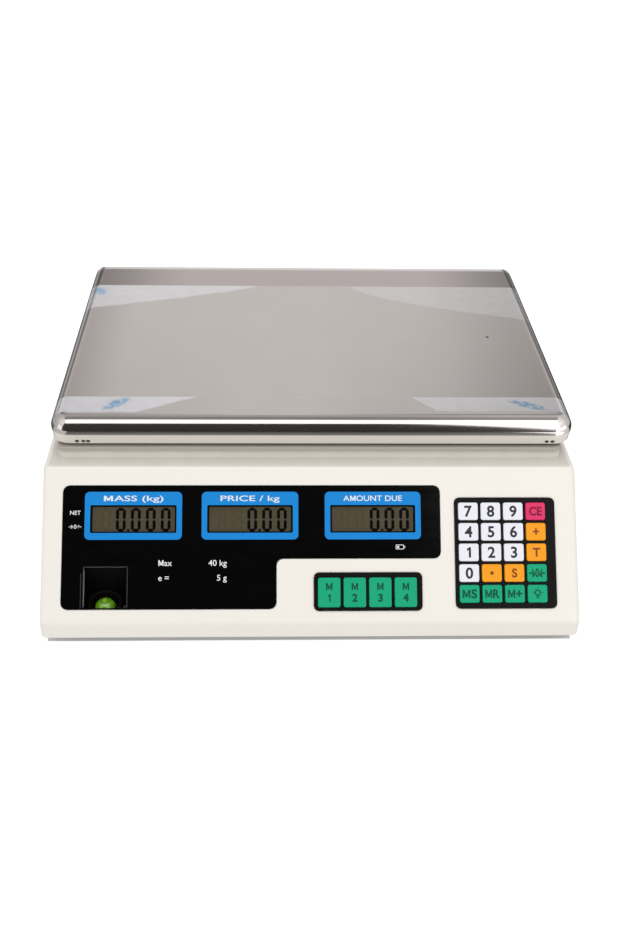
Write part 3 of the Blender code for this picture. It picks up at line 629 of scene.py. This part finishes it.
def arc(centre, radius, start, end, steps):
    for step in range(steps + 1):
        angle = start + (end - start) * step / steps
        yield (centre[0] + radius * cos(angle), centre[1] + radius * sin(angle))


def circle(centre, radius, steps=32):
    return list(arc(centre, radius, 0, 2 * pi * (1 - 1 / steps), steps - 1))


QUADRANTS = ((1, 1), (-1, 1), (-1, -1), (1, -1))


def rounded(centres, steps):
    """An outline of four quarter turns, from each one's (x, y, radius)."""
    outline = []
    for index, (x, y, radius) in enumerate(centres):
        start = index * pi / 2
        outline += arc((x, y), radius, start, start + pi / 2, steps)
    return outline


def rounded_rectangle(width, height, radius, centre=(0, 0), steps=6):
    x, y = width / 2 - radius, height / 2 - radius
    return rounded([(centre[0] + side * x, centre[1] + up * y, radius) for side, up in QUADRANTS], steps)


def bridge(bm, upper, lower):
    """A band of faces from one closed ring of points to another."""
    for (a, b), (c, d) in zip(pairs(upper), pairs(lower)):
        bm.faces.new((a, c, d, b))


def slice_across(bm, at, normal, **settings):
    """Cuts new edges into the whole mesh along a plane."""
    geometry = bm.verts[:] + bm.edges[:] + bm.faces[:]
    return bmesh.ops.bisect_plane(bm, geom=geometry, plane_co=at, plane_no=normal, **settings)


def lathe_ring(bm, radius, height, sides):
    """The points of one turn about z, or its single point on the axis."""
    if radius < 1e-7:
        return [bm.verts.new((0, 0, height))]
    turns = [2 * pi * side / sides for side in range(sides)]
    return [bm.verts.new((radius * cos(a), radius * sin(a), height)) for a in turns]


def turned(name, profile, sides=48, closed=False):
    """A solid of revolution about z, from a profile of (radius, height).

    A closed profile stays clear of the axis. An open one starts and ends on it.
    """
    bm = bmesh.new()
    rings = [lathe_ring(bm, radius, height, sides) for radius, height in profile]
    for upper, lower in pairs(rings) if closed else zip(rings, rings[1:]):
        for side in range(sides):
            corners = [upper[side % len(upper)], lower[side % len(lower)]]
            corners += [lower[(side + 1) % len(lower)], upper[(side + 1) % len(upper)]]
            unique = list(dict.fromkeys(corners))
            if len(unique) > 2:
                bm.faces.new(unique)
    return mesh_from(bm, name)


CAP_HEIGHT = 0.682  # of a capital in the built-in font, as a share of its size
BOLD = 0.012  # how far small print is thickened, as a share of its height
LETTER_GAP = 0.07  # beside a letter drawn here, and the width of a space, in shares of the font's size
SPACE = 0.25
# Letters drawn here, in shares of the font's size.
GLYPHS = {
    "M": (
        (-0.31, 0), (-0.31, CAP_HEIGHT), (-0.17, CAP_HEIGHT), (0, 0.29),
        (0.17, CAP_HEIGHT), (0.31, CAP_HEIGHT), (0.31, 0), (0.17, 0),
        (0.17, 0.42), (0.06, 0.06), (-0.06, 0.06), (-0.17, 0.42), (-0.17, 0),
    ),
    "1": (
        (-0.07, 0), (0.07, 0), (0.07, CAP_HEIGHT), (-0.04, CAP_HEIGHT),
        (-0.19, 0.57), (-0.19, 0.43), (-0.07, 0.51),
    ),
}


def font_mesh(text, size, bold):
    curve = bpy.data.curves.new("lettering", "FONT")
    curve.body = text
    curve.size = size
    curve.offset = bold
    curve.extrude = PRINT / 2
    curve.resolution_u = 4
    mesh = curve_mesh(curve)
    mesh.transform(place_at(z=PRINT / 2))
    return mesh


def lettering(text, height, width=None, bold=0.0, align="CENTER"):
    """Raised lettering whose capitals are this high, with the middle of its capitals at y 0."""
    size = height / CAP_HEIGHT
    parts = []
    right = 0.0
    for run in filter(None, re.split("([M1])", text)):
        if run in GLYPHS:
            mesh = sheet("glyph", [[(x * size, y * size) for x, y in GLYPHS[run]]], 0, PRINT)
        else:
            mesh = font_mesh(run.strip(), size, bold)
        across = [vert.co.x for vert in mesh.vertices]
        left = right + size * (LETTER_GAP if parts else 0) + size * SPACE * run.startswith(" ")
        parts.append((mesh, place_at(left - min(across))))
        right = left + max(across) - min(across)
    mesh = joined("lettering", parts)
    start = {"LEFT": 0, "CENTER": -right / 2, "RIGHT": -right}[align]
    stretch = width / right if width else 1
    mesh.transform(Matrix.Diagonal((stretch, 1, 1, 1)) @ place_at(start, -height / 2))
    return mesh


# ---- displays ----
# The bars of a digit, each from one corner of a 1 by 2 grid to the next.
OUTER_BARS = (
    ((0, 2), (1, 2)), ((0, 1), (0, 2)), ((1, 1), (1, 2)),
    ((0, 0), (0, 1)), ((1, 0), (1, 1)), ((0, 0), (1, 0)),
)
MIDDLE_BAR = ((0, 1), (1, 1))


def segment_outline(ends, centre):
    """A bar with pointed ends, a little short of the corners that it runs between."""
    across = DIGIT_SIZE[0] - DIGIT_STROKE
    up = (DIGIT_SIZE[1] - DIGIT_STROKE) / 2
    start, end = (Vector(((x - 0.5) * across, (y - 1) * up)) + Vector(centre) for x, y in ends)
    along = (end - start).normalized()
    side = Vector((-along.y, along.x)) * DIGIT_STROKE / 2
    gap = along * SEGMENT_GAP
    taper = along * DIGIT_STROKE / 2
    start, end = start + gap, end - gap
    return [start, start + taper - side, end - taper - side, end, end - taper + side, start + taper + side]


def add_digits(name, number, window, face, place):
    """The lit zeros and points of one display, the unlit bars of its other places, and a dark ring painted
    round its window as the shade of the window's edge.
    """
    lit, unlit = [], []
    width, height = WINDOW_SIZE
    right = window.x + width / 2 - DIGIT_MARGIN - DIGIT_SIZE[0] / 2
    places = len(number.replace(".", ""))
    after_point = len(number) - number.index(".") - 1
    for cell in range(DISPLAY_CELLS):
        centre = (right - cell * DIGIT_PITCH, window.y - DIGIT_DROP)
        unlit.append(segment_outline(MIDDLE_BAR, centre))
        (lit if cell < places else unlit).extend(segment_outline(ends, centre) for ends in OUTER_BARS)
        if cell:
            point_at = (centre[0] + DIGIT_PITCH / 2, centre[1] - DIGIT_SIZE[1] / 2 + DIGIT_STROKE / 2)
            (lit if cell == after_point else unlit).append(circle(point_at, POINT_RADIUS, 12))
    # Painted shade: a dark ring round the window, where the window's edge shades the display.
    edge = rounded_rectangle(width + EDGE_SHADE_LAP, height + EDGE_SHADE_LAP, 0.0006, window.xy)
    hole = rounded_rectangle(width - 0.0020, height - EDGE_SHADE_LAP, 0.0008, window.xy)
    layers = ("digits", lit, 0.00006), ("unlit", unlit, 0.00003), ("mask", [edge, hole], 0.00008)
    for part, outlines, thick in layers:
        add_piece(sheet(f"{name}_{part}", outlines, face, face + thick), "lcd", place, "lcd_" + part)


def add_displays(name, windows, face, place):
    """One side's displays: their digits, and the printed frame and heading round each window."""
    frames, headings = [], []
    for (display, heading, number), window in zip(DISPLAYS, windows):
        add_digits(f"{name}_{display}", number, window, face, place)
        frames.append(rounded_rectangle(*FRAME_SIZE, 0.0030, (window.x, window.y + FRAME_RISE)))
        frames.append(rounded_rectangle(*(side + 0.0003 for side in WINDOW_SIZE), 0.0009, window.xy))
        mesh = lettering(heading, HEADING_HEIGHT, HEADING_WIDTH, BOLD * HEADING_HEIGHT)
        headings.append((mesh, place_at(window.x, window.y + HEADING_RISE, PRINT)))
    add_piece(sheet(f"{name}_frames", frames, 0, PRINT), "overlay_black", place, "ink_blue")
    add_piece(joined(f"{name}_headings", headings), "overlay_black", place, "ink_white")


def add_both_sides():
    """The console's displays, and the customer's: the same three, in the same order from its own left."""
    front = [middle(f"lcd_{name}", CONSOLE) for name, _, _ in DISPLAYS]
    add_displays("display", front, local_box("lcd_weight", CONSOLE)[1].z, CONSOLE)
    rear = [Vector((at.x - front[1].x, 0, 0)) for at in front]
    add_displays("rear_display", rear, local_box("rear_display_module", REAR)[1].z, REAR)


def add_lens_print():
    """Small printing on the console's lens: what the scale weighs to, and its indicator marks."""
    low, high = local_box("display_lens", CONSOLE)
    first = middle("lcd_weight", CONSOLE)
    last = middle("lcd_total_price", CONSOLE)
    rows = []
    for name, value, drop in CAPACITY:
        rows.append((name, CAPACITY_PRINT, CAPACITY_NAME_X, drop, "LEFT"))
        rows.append((value, CAPACITY_PRINT, CAPACITY_VALUE_X, drop, "RIGHT"))
    rows += [(mark, MARK_PRINT, MARK_X, drop, "CENTER") for mark, drop in MARKS]
    parts = []
    for text, height, across, drop, align in rows:
        mesh = lettering(text, height, bold=BOLD * height, align=align)
        parts.append((mesh, place_at(low.x + across, first.y - drop, high.z)))
    parts.append((battery_mark(), place_at(last.x + BATTERY_MARK[0], last.y + BATTERY_MARK[1], high.z)))
    add_piece(joined("lens_print", parts), "overlay_black", CONSOLE, "ink_white")
    add_level_frame(high.z)


def battery_mark():
    """A little battery: its outline, what is left in it, and its terminal."""
    case = rounded_rectangle(0.0052, 0.0030, 0.0004), rounded_rectangle(0.0044, 0.0022, 0.0002)
    charge = rounded_rectangle(0.0014, 0.0014, 0.0001, (-0.0011, 0))
    terminal = rounded_rectangle(0.0005, 0.0014, 0.0001, (0.0031, 0))
    return sheet("battery_mark", [*case, charge, terminal], 0, PRINT)


def add_level_frame(face):
    """Thin grey lines round the level's window: its top and sides, and a second one on its left."""
    width, height = LEVEL_WINDOW
    at_y = middle("lcd_weight", CONSOLE).y - LEVEL_WINDOW_DROP
    left, right = LEVEL_WINDOW_X - width / 2, LEVEL_WINDOW_X + width / 2
    low, high = at_y - height / 2, at_y + height / 2
    line = LEVEL_LINE
    arch = [(left - line, low), (left - line, high + line), (right + line, high + line), (right + line, low)]
    arch += [(right, low), (right, high), (left, high), (left, low)]
    second = rounded_rectangle(0.0003, height - 0.004, 0.0001, (left - 0.0017, at_y - 0.002), 1)
    mesh = sheet("level_frame", [arch, second], face, face + PRINT)
    add_piece(mesh, "overlay_black", CONSOLE, "ink_line_grey")


# ---- keys ----
def key_legend(name):
    """The meshes of one key's legend, and how far up the key's cap each one stands."""
    if name.isdigit():
        return [(lettering(name, DIGIT_LEGEND, bold=DIGIT_BOLD), 0)]
    if name[0] == "m" and name[1:].isdigit():
        meshes = lettering("M", MEMORY_LEGEND), lettering(name[1:], MEMORY_LEGEND, bold=MEMORY_BOLD)
        return zip(meshes, MEMORY_RISE)
    if name == "light":
        return [(lamp_mark(), 0)]
    text = KEY_LEGENDS[name]
    return [(lettering(text, WORD_LEGEND, WIDE_LEGENDS.get(text), WORD_BOLD), 0)]


def add_legends():
    """Each key's own numeral or mark, raised a hair over its cap, riding on the key."""
    for node in NODES:
        if not node.startswith("key_") or node in ("key_mat", "key_board"):
            continue
        low, high = local_box(node, CONSOLE)
        name = node.removeprefix("key_")
        mesh = joined(f"legend_{name}", [(mark, place_at(y=rise)) for mark, rise in key_legend(name)])
        colour = SLOTS[node].replace("key_", "ink_on_")
        add_piece(mesh, SLOTS[node], CONSOLE @ top_middle(low, high), colour, node)


def lamp_mark():
    """A lamp: a ring for its bulb, two bars for its cap and three short rays."""
    outlines = [circle((0, 0.0006), 0.0020), circle((0, 0.0006), 0.0012)]
    outlines += [rounded_rectangle(0.0018, 0.0006, 0.0002, (0, y)) for y in (-0.0018, -0.0027)]
    outlines += [rounded_rectangle(0.0011, 0.0005, 0.0002, (x, 0.0008)) for x in (-0.0029, 0.0029)]
    outlines.append(rounded_rectangle(0.0005, 0.0008, 0.0002, (0, 0.0033)))
    return sheet("lamp_mark", outlines, 0, PRINT)


# ---- pan ----
def pan_profile():
    """(inset from the pan's outline, height from its top), from the flat top out and down to the hem."""
    for x, z in arc((PAN_ROUND, -PAN_ROUND), PAN_ROUND, pi / 2, pi, 16):
        yield x, z
    yield 0, -HEM
    yield 0.0001, -HEM - 0.0008
    yield HEM_LEAN, None


def pan_drop(y, front, rear, edge):
    """How far the top falls outside its creases, and along its rear edge."""
    beyond = max(front - y, y - rear, 0)
    roll = max(y - (edge - ROLL_OFF), 0)
    return beyond * tan(CREASE_SLOPE) + roll * roll / ROLL_CURVE


def pan_outline(width, depth, inset):
    """The pan seen from above, its front corners rounder than its rear ones."""
    radii = [max(radius - inset, 0.0008) for radius in (PAN_REAR_CORNER, PAN_FRONT_CORNER)]
    centres = []
    for side, back in QUADRANTS:
        radius = radii[back < 0]
        centres.append((side * (width / 2 - radius), back * (depth / 2 - radius), radius))
    return rounded(centres, 10)


def add_pan():
    """The pressed pan again, with a fuller rolled edge, a hem and two shallow creases."""
    low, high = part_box("pan")
    width, depth, height = high - low
    bm = bmesh.new()
    rings = []
    for inset, z in pan_profile():
        outline = pan_outline(width - 2 * inset, depth - 2 * inset, inset)
        rings.append([bm.verts.new((x, y, HEM_CLEAR - height if z is None else z)) for x, y in outline])
    for upper, lower in zip(rings, rings[1:]):
        bridge(bm, upper, lower)
    bm.faces.new(rings[0])
    crease_pan(bm, depth, height)
    mesh = mesh_from(bm, "pan_sheet")
    mesh.shade_smooth()
    place = top_middle(low, high)
    pan = add_piece(mesh, "steel", place, body="pan")
    thickness = pan.modifiers.new("sheet", "SOLIDIFY")
    thickness.thickness = PAN_SHEET
    thickness.offset = -1
    weighted = pan.modifiers.new("flat_faces", "WEIGHTED_NORMAL")
    weighted.keep_sharp = True
    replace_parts(pan, "pan")
    add_spots(low, high, place)


def crease_pan(bm, depth, height):
    """Bends the pan's top down outside its two creases and at its rear edge."""
    front = FRONT_CREASE - depth / 2
    rear = depth / 2 - REAR_CREASE
    creases = [front, rear]
    for line in creases + [depth / 2 - ROLL_OFF * step / 6 for step in (6, 5, 4)]:
        slice_across(bm, (0, line, 0), (0, 1, 0), dist=1e-6)
    for vert in bm.verts:
        raised = max(0, 1 + vert.co.z / height)
        vert.co.z -= pan_drop(vert.co.y, front, rear, depth / 2) * raised
    for edge in bm.edges:
        edge.smooth = not any(all(abs(vert.co.y - line) < 1e-5 for vert in edge.verts) for line in creases)


def add_spots(low, high, place):
    """A dark speck burnt into the pan's top, and small weld pits in its hem near the front corners."""
    speck = turned("pan_speck", [(0, 0.00006), (0.0010, 0.00005), (0.0012, 0), (0, 0)], 12)
    add_piece(speck, "steel", place @ place_at(*SPECK_AT), "ink_line_grey", "pan")
    middle_x = (low.x + high.x) / 2
    y = low.y + HEM_LEAN * 0.75
    face = Matrix.Rotation(pi / 2, 4, "X")
    parts = []
    for offset in PITS:
        pit = turned("pit", [(0, 0.0002), (0.0012, 0.0001), (0.0015, 0), (0, 0)], 16)
        parts.append((pit, place_at(middle_x + offset, y, low.z + PIT_RISE) @ face))
    add_piece(joined("pan_pits", parts), "steel", None, "ink_line_grey", "pan")


# ---- level ----
def slope_height(y, depth):
    """Height of a plane this far under the console's face, at this y."""
    normal = CONSOLE.to_3x3() @ Vector((0, 0, 1))
    point = CONSOLE @ Vector((0, 0, -depth))
    return point.z - (y - point.y) * normal.y / normal.z


def add_well():
    """An open-topped black box round the level, up to the inside of the console."""
    low, high = WELL
    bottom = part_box("level_vial")[0].z - WELL_FLOOR
    bm = bmesh.new()
    rings = []
    for inset in (0, WELL_WALL):
        left, right, front, back = low.x + inset, high.x - inset, low.y + inset, high.y - inset
        corners = [(left, front), (right, front), (right, back), (left, back)]
        rings.append([bm.verts.new((x, y, slope_height(y, WELL_TOP))) for x, y in corners])
        rings.append([bm.verts.new((x, y, bottom)) for x, y in corners])
    outer_top, outer_low, inner_top, inner_low = rings
    for first, second in pairs([outer_top, outer_low, inner_low, inner_top]):
        bridge(bm, first, second)
    add_piece(mesh_from(bm, "level_well"), "bezel_black")


def on_dome(radius, shoulder, angles):
    """(radius, height) at each angle up a dome."""
    return [(radius * cos(angle), shoulder + radius * sin(angle)) for angle in angles]


def add_level():
    """The round level: a black cup, and a green vial with its ring and its bubble."""
    low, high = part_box("level_vial")
    radius = (high.x - low.x) / 2
    place = place_at(*((low + high) / 2).xy)
    shoulder = high.z - radius
    add_well()
    cup = [(0.0074, -0.0004), (0.0074, 0.0034), (0.0090, 0.0116), (0.0104, 0.0121)]
    cup += [(0.0112, 0.0117), (0.0112, -0.0004)]
    holder = turned("level_holder", [(out, low.z + up) for out, up in cup], 64, closed=True)
    add_piece(clipped(holder, place), "bezel_black", place, sharp=30)
    dome = on_dome(radius, shoulder, quarter(16))
    vial = turned("level_dome", [*dome, (radius, low.z), (0, low.z)], 64)
    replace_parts(add_piece(vial, "vial_green", place, sharp=50), "level_vial")
    over = radius + 0.00004
    ring = on_dome(over, shoulder, LEVEL_RING) + on_dome(radius, shoulder - 0.0001, LEVEL_RING[::-1])
    add_piece(turned("level_ring", ring, closed=True), "vial_green", place, "ink_on_white")
    bubble = on_dome(over, shoulder, [angle for angle in quarter(12) if angle > BUBBLE_EDGE])
    bubble.append((0, bubble[-1][1] - 0.0002))
    add_piece(turned("level_bubble", bubble, 32), "vial_green", place, "level_bubble", sharp=50)


def quarter(steps):
    return [pi / 2 * (1 - step / steps) for step in range(steps + 1)]


def clipped(mesh, place):
    """The part of a mesh that lies under the console's inside face, in place of the whole."""
    name = mesh.name
    bm = bmesh.new()
    bm.from_mesh(mesh)
    bpy.data.meshes.remove(mesh)
    normal = CONSOLE.to_3x3() @ Vector((0, 0, 1))
    point = place.inverted() @ (CONSOLE @ Vector((0, 0, -HOLDER_TOP)))
    cut = slice_across(bm, point, normal, clear_outer=True)
    edges = [item for item in cut["geom_cut"] if isinstance(item, bmesh.types.BMEdge)]
    bmesh.ops.contextual_create(bm, geom=edges)
    return mesh_from(bm, name)


# ---- load cell ----
def add_load_cell():
    """The load cell again, relieved under the hub of the pan's support, which sinks under load."""
    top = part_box("load_cell")[1].z
    bm = bmesh.new()
    bm.from_mesh(NODES["load_cell"].data)
    for line in (HUB_EDGE - HUB_RAMP, HUB_EDGE):
        slice_across(bm, (line, 0, 0), (1, 0, 0), dist=1e-6)
    for vert in bm.verts:
        if vert.co.x > HUB_EDGE - HUB_RAMP / 2 and vert.co.z > top - 1e-5:
            vert.co.z -= HUB_RELIEF
    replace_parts(add_piece(mesh_from(bm, "load_cell_bar"), "aluminium"), "load_cell")


# ---- screws ----
def screw_head(name, radius, height):
    """A pan-head screw's head, standing up from z 0, with a cross recess in its top."""
    deep = height * 0.45
    arm, half = radius * 0.58, radius * 0.15
    cross = [(half, arm), (half, half), (arm, half), (arm, -half), (half, -half), (half, -arm)]
    cross += [(-x, -y) for x, y in cross]
    rim = sheet(f"{name}_rim", [circle((0, 0), radius * 0.80), cross[::-1]], deep, height)
    side = [(0, deep), (radius * 0.80, deep), (radius * 0.80, height), (radius * 0.93, height * 0.86)]
    side += [(radius, height * 0.55), (radius, 0), (0, 0)]
    return joined(name, [(rim, place_at()), (turned(f"{name}_side", side, 32), place_at())])


def add_screws():
    """Screws up into the base, and the two that hold the pan's support on the load cell."""
    over = Matrix.Rotation(pi, 4, "X")
    for number, (x, y) in enumerate(BASE_SCREWS, 1):
        head = screw_head(f"base_screw_{number}", *BASE_SCREW)
        add_piece(head, "zinc", place_at(x, y, BASE_SCREW_SEAT) @ over, sharp=30)
    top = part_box("pan_support")[1].z
    for number, (x, y) in enumerate(SUPPORT_SCREWS, 1):
        head = screw_head(f"support_screw_{number}", *SUPPORT_SCREW)
        add_piece(head, "zinc", place_at(x, y, top), body="platform", sharp=30)


# ---- camera, light and floor ----
CAMERA_AT = (-0.0257, -0.6830, 0.4973)
CAMERA_DOWN = radians(34.366)
CAMERA_TURN = radians(2.451)
CAMERA_ROLL = radians(1.408)
CAMERA_LENS = 43.0


def add_camera():
    data = bpy.data.cameras.new("camera")
    data.lens = CAMERA_LENS
    camera = linked("camera", data)
    aim = Matrix.Rotation(-CAMERA_TURN, 4, "Z") @ Matrix.Rotation(pi / 2 - CAMERA_DOWN, 4, "X")
    camera.matrix_world = Matrix.Translation(CAMERA_AT) @ aim @ Matrix.Rotation(CAMERA_ROLL, 4, "Z")
    bpy.context.scene.camera = camera


def dull(name, colour=(0, 0, 0), glow=0.0):
    """A shader with no gloss, that may glow white."""
    shader = Shader(name, colour, 0.9, Specular_IOR_Level=0.0)
    if glow:
        shader.set("Emission Color", (1, 1, 1, 1))
        shader.set("Emission Strength", glow)
    return shader


def add_stage_sheet(name, corners, shader):
    """A flat piece of the studio, through these corners."""
    bm = bmesh.new()
    bm.faces.new([bm.verts.new(corner) for corner in corners])
    obj = linked(name, mesh_from(bm, name))
    obj.data.materials.append(shader.material)
    return obj


def add_card(name, corners, shader):
    """A card seen only in reflections, by which polished pieces are shaped."""
    card = add_stage_sheet(name, corners, shader)
    for ray in ("camera", "diffuse", "shadow", "transmission", "volume_scatter"):
        setattr(card, f"visible_{ray}", False)


CARD_LIFT = 0.004  # of a card that lies on the floor
CARD_HALF = 0.95  # half the width of an overhead card


def on_floor(*corners):
    return [(x, y, CARD_LIFT) for x, y in corners]


def flat(low, high, z=CARD_LIFT):
    """A level rectangle between two (x, y) corners."""
    return [(low[0], low[1], z), (high[0], low[1], z), (high[0], high[1], z), (low[0], high[1], z)]


def facing(y, *corners):
    """An upright card across the studio, through its (x, z) corners."""
    return [(x, y, z) for x, z in corners]


def standing(start, end, height):
    """An upright card on the floor, from one (x, y) to another."""
    return [(*start, 0), (*end, 0), (*end, height), (*start, height)]


def sloped(near, far):
    """A card between two (y, z) edges."""
    return [(-CARD_HALF, *near), (CARD_HALF, *near), (CARD_HALF, *far), (-CARD_HALF, *far)]


def upright_at(y, left, right, low, high):
    return facing(y, (left, low), (right, low), (right, high), (left, high))


# The floor in front that the pan's edge mirrors: its near and far y, and how bright it is.
FRONT_FLOOR = (
    (-0.185, -0.30, 0.42),
    (-0.301, -0.42, 0.26),
    (-0.421, -0.87, 0.17),
    (-0.871, -3.50, 0.09),
)
FLOOR_LEFT = (-0.25, 0.21)  # x of its left side where it starts, and how that changes with y
FLOOR_RIGHT = (0.205, -0.167)
# The studio's other cards: name, corners and brightness.
CARDS = (
    ("front_right_floor", on_floor((0.207, -0.185), (0.50, -0.185), (1.6, -3.5), (0.77, -3.5)), 1.7),
    ("front_dark", facing(-1.15, (-1.25, 0), (0.47, 0), (0.318, 1.67), (-1.25, 1.67)), 0.05),
    ("front_right", facing(-1.15, (0.472, 0), (1.2, 0), (1.2, 1.67), (0.320, 1.67)), 1.8),
    ("front_left", standing((-1.30, -1.15), (-1.9, -0.55), 0.85), 1.6),
    ("right_corner", standing((1.22, -1.15), (2.0, -0.35), 0.7), 1.6),
    ("front_white", sloped((-1.15, 1.69), (-0.272, 1.90)), 2.2),
    ("front_grey", sloped((-0.262, 1.90), (0.50, 1.90)), 0.38),
    ("overhead_grey", sloped((0.505, 1.90), (1.15, 1.90)), 0.60),
    ("left_floor", flat((-1.3, 0.0), (-0.2, 0.8)), 0.22),
    ("right_floor", flat((0.2, 0.0), (1.3, 0.8)), 0.08),
    ("left_wall", upright_at(1.4, -2.2, -0.45, 0.22, 0.50), 0.32),
    ("right_wall", upright_at(1.4, 0.45, 2.2, 0.0, 0.50), 0.33),
)


def front_floor(near, far):
    """The corners of one strip of the floor in front, which widens away from the object."""
    start = FRONT_FLOOR[0][0]
    sides = (near, FLOOR_LEFT), (near, FLOOR_RIGHT), (far, FLOOR_RIGHT), (far, FLOOR_LEFT)
    return on_floor(*((at + spread * (y - start), y) for y, (at, spread) in sides))


def add_stage():
    """A white floor under the object, a grey sheet on it that stands in for the object's shadow, and the
    cards in front of it, beside it and behind it.
    """
    white = dull("floor_white", (0.80, 0.80, 0.80), 0.55)
    floor = add_stage_sheet("floor", flat((-7, -6.5), (7, 7.5), 0), white)
    # A painted shadow: a grey sheet under the case, hidden from reflections and bounced light.
    mat = flat((-0.1685, -0.1558), (0.1685, 0.145), 0.0004)
    mat = add_stage_sheet("mat", mat, dull("painted_shadow_grey", (0.70, 0.70, 0.70)))
    for under in (floor, mat):
        under.visible_diffuse = False
        under.visible_glossy = False
    cards = [(f"front_dark_floor_{number}", front_floor(near, far), brightness)
             for number, (near, far, brightness) in enumerate(FRONT_FLOOR, 1)]
    for name, corners, brightness in (*cards, *CARDS):
        add_card(name, corners, dull(name, glow=brightness))
    add_card("backdrop", upright_at(1.6, -1.6, 1.6, 0.52, 2.3), backdrop_glow())


def backdrop_glow():
    """The pale wall that the pan's top mirrors, darker towards its upper corners."""
    shader = dull("backdrop", glow=1)
    x, _, z = shader.axes()
    right = shader.times(shader.past(x, 0.08), 1.35)
    left = shader.times(shader.past(shader.times(x, -1), 0.08), 0.73)
    loss = shader.times(shader.plus(left, right), shader.past(z, 0.75))
    shader.set("Emission Strength", shader.math("MAXIMUM", shader.minus(0.93, loss), 0.35))
    return shader


# Brightness of the studio's walls and ceiling at each height, in degrees over the horizon: in front
# of the object, and behind it.
SKY = (
    (-90, 0.86, 0.75),
    (-8, 0.86, 0.75),
    (2, 0.74, 0.70),
    (20, 0.90, 0.70),
    (45, 1.42, 0.75),
    (70, 1.25, 0.85),
    (90, 0.80, 0.80),
)
SKY_STRENGTH = 2.0


def add_world():
    """A soft white studio whose brightness changes with height, and from its front to its back."""
    world = bpy.data.worlds.new("studio")
    bpy.context.scene.world = world
    world.use_nodes = True
    nodes = Nodes(world.node_tree)
    direction = nodes.node("TexCoord").outputs["Generated"]
    _, y, z = nodes.node("SeparateXYZ", {"Vector": direction}).outputs
    height = nodes.share(z, -1.0, 1.0)
    tones = []
    for side in (1, 2):
        ramp = nodes.node("ValToRGB", {"Fac": height})
        while len(ramp.color_ramp.elements) < len(SKY):
            ramp.color_ramp.elements.new(0.5)
        for element, row in zip(ramp.color_ramp.elements, SKY):
            element.position = (sin(radians(row[0])) + 1) / 2
            element.color = (*[row[side] / SKY_STRENGTH] * 3, 1)
        tones.append(ramp.outputs["Color"])
    background = world.node_tree.nodes["Background"]
    nodes.feed(background.inputs["Color"], nodes.mix(nodes.share(y, -0.35, 0.35), *tones))
    nodes.feed(background.inputs["Strength"], SKY_STRENGTH)


def set_look():
    view = bpy.context.scene.view_settings
    view.view_transform = "Standard"
    view.look = "None"
    view.exposure = 0.0
    view.gamma = 1.0


# ---- build ----
def main():
    set_look()
    add_camera()
    add_world()
    add_stage()
    dress_nodes()
    add_pan()
    add_level()
    add_both_sides()
    add_lens_print()
    add_legends()
    add_load_cell()
    add_screws()


main()
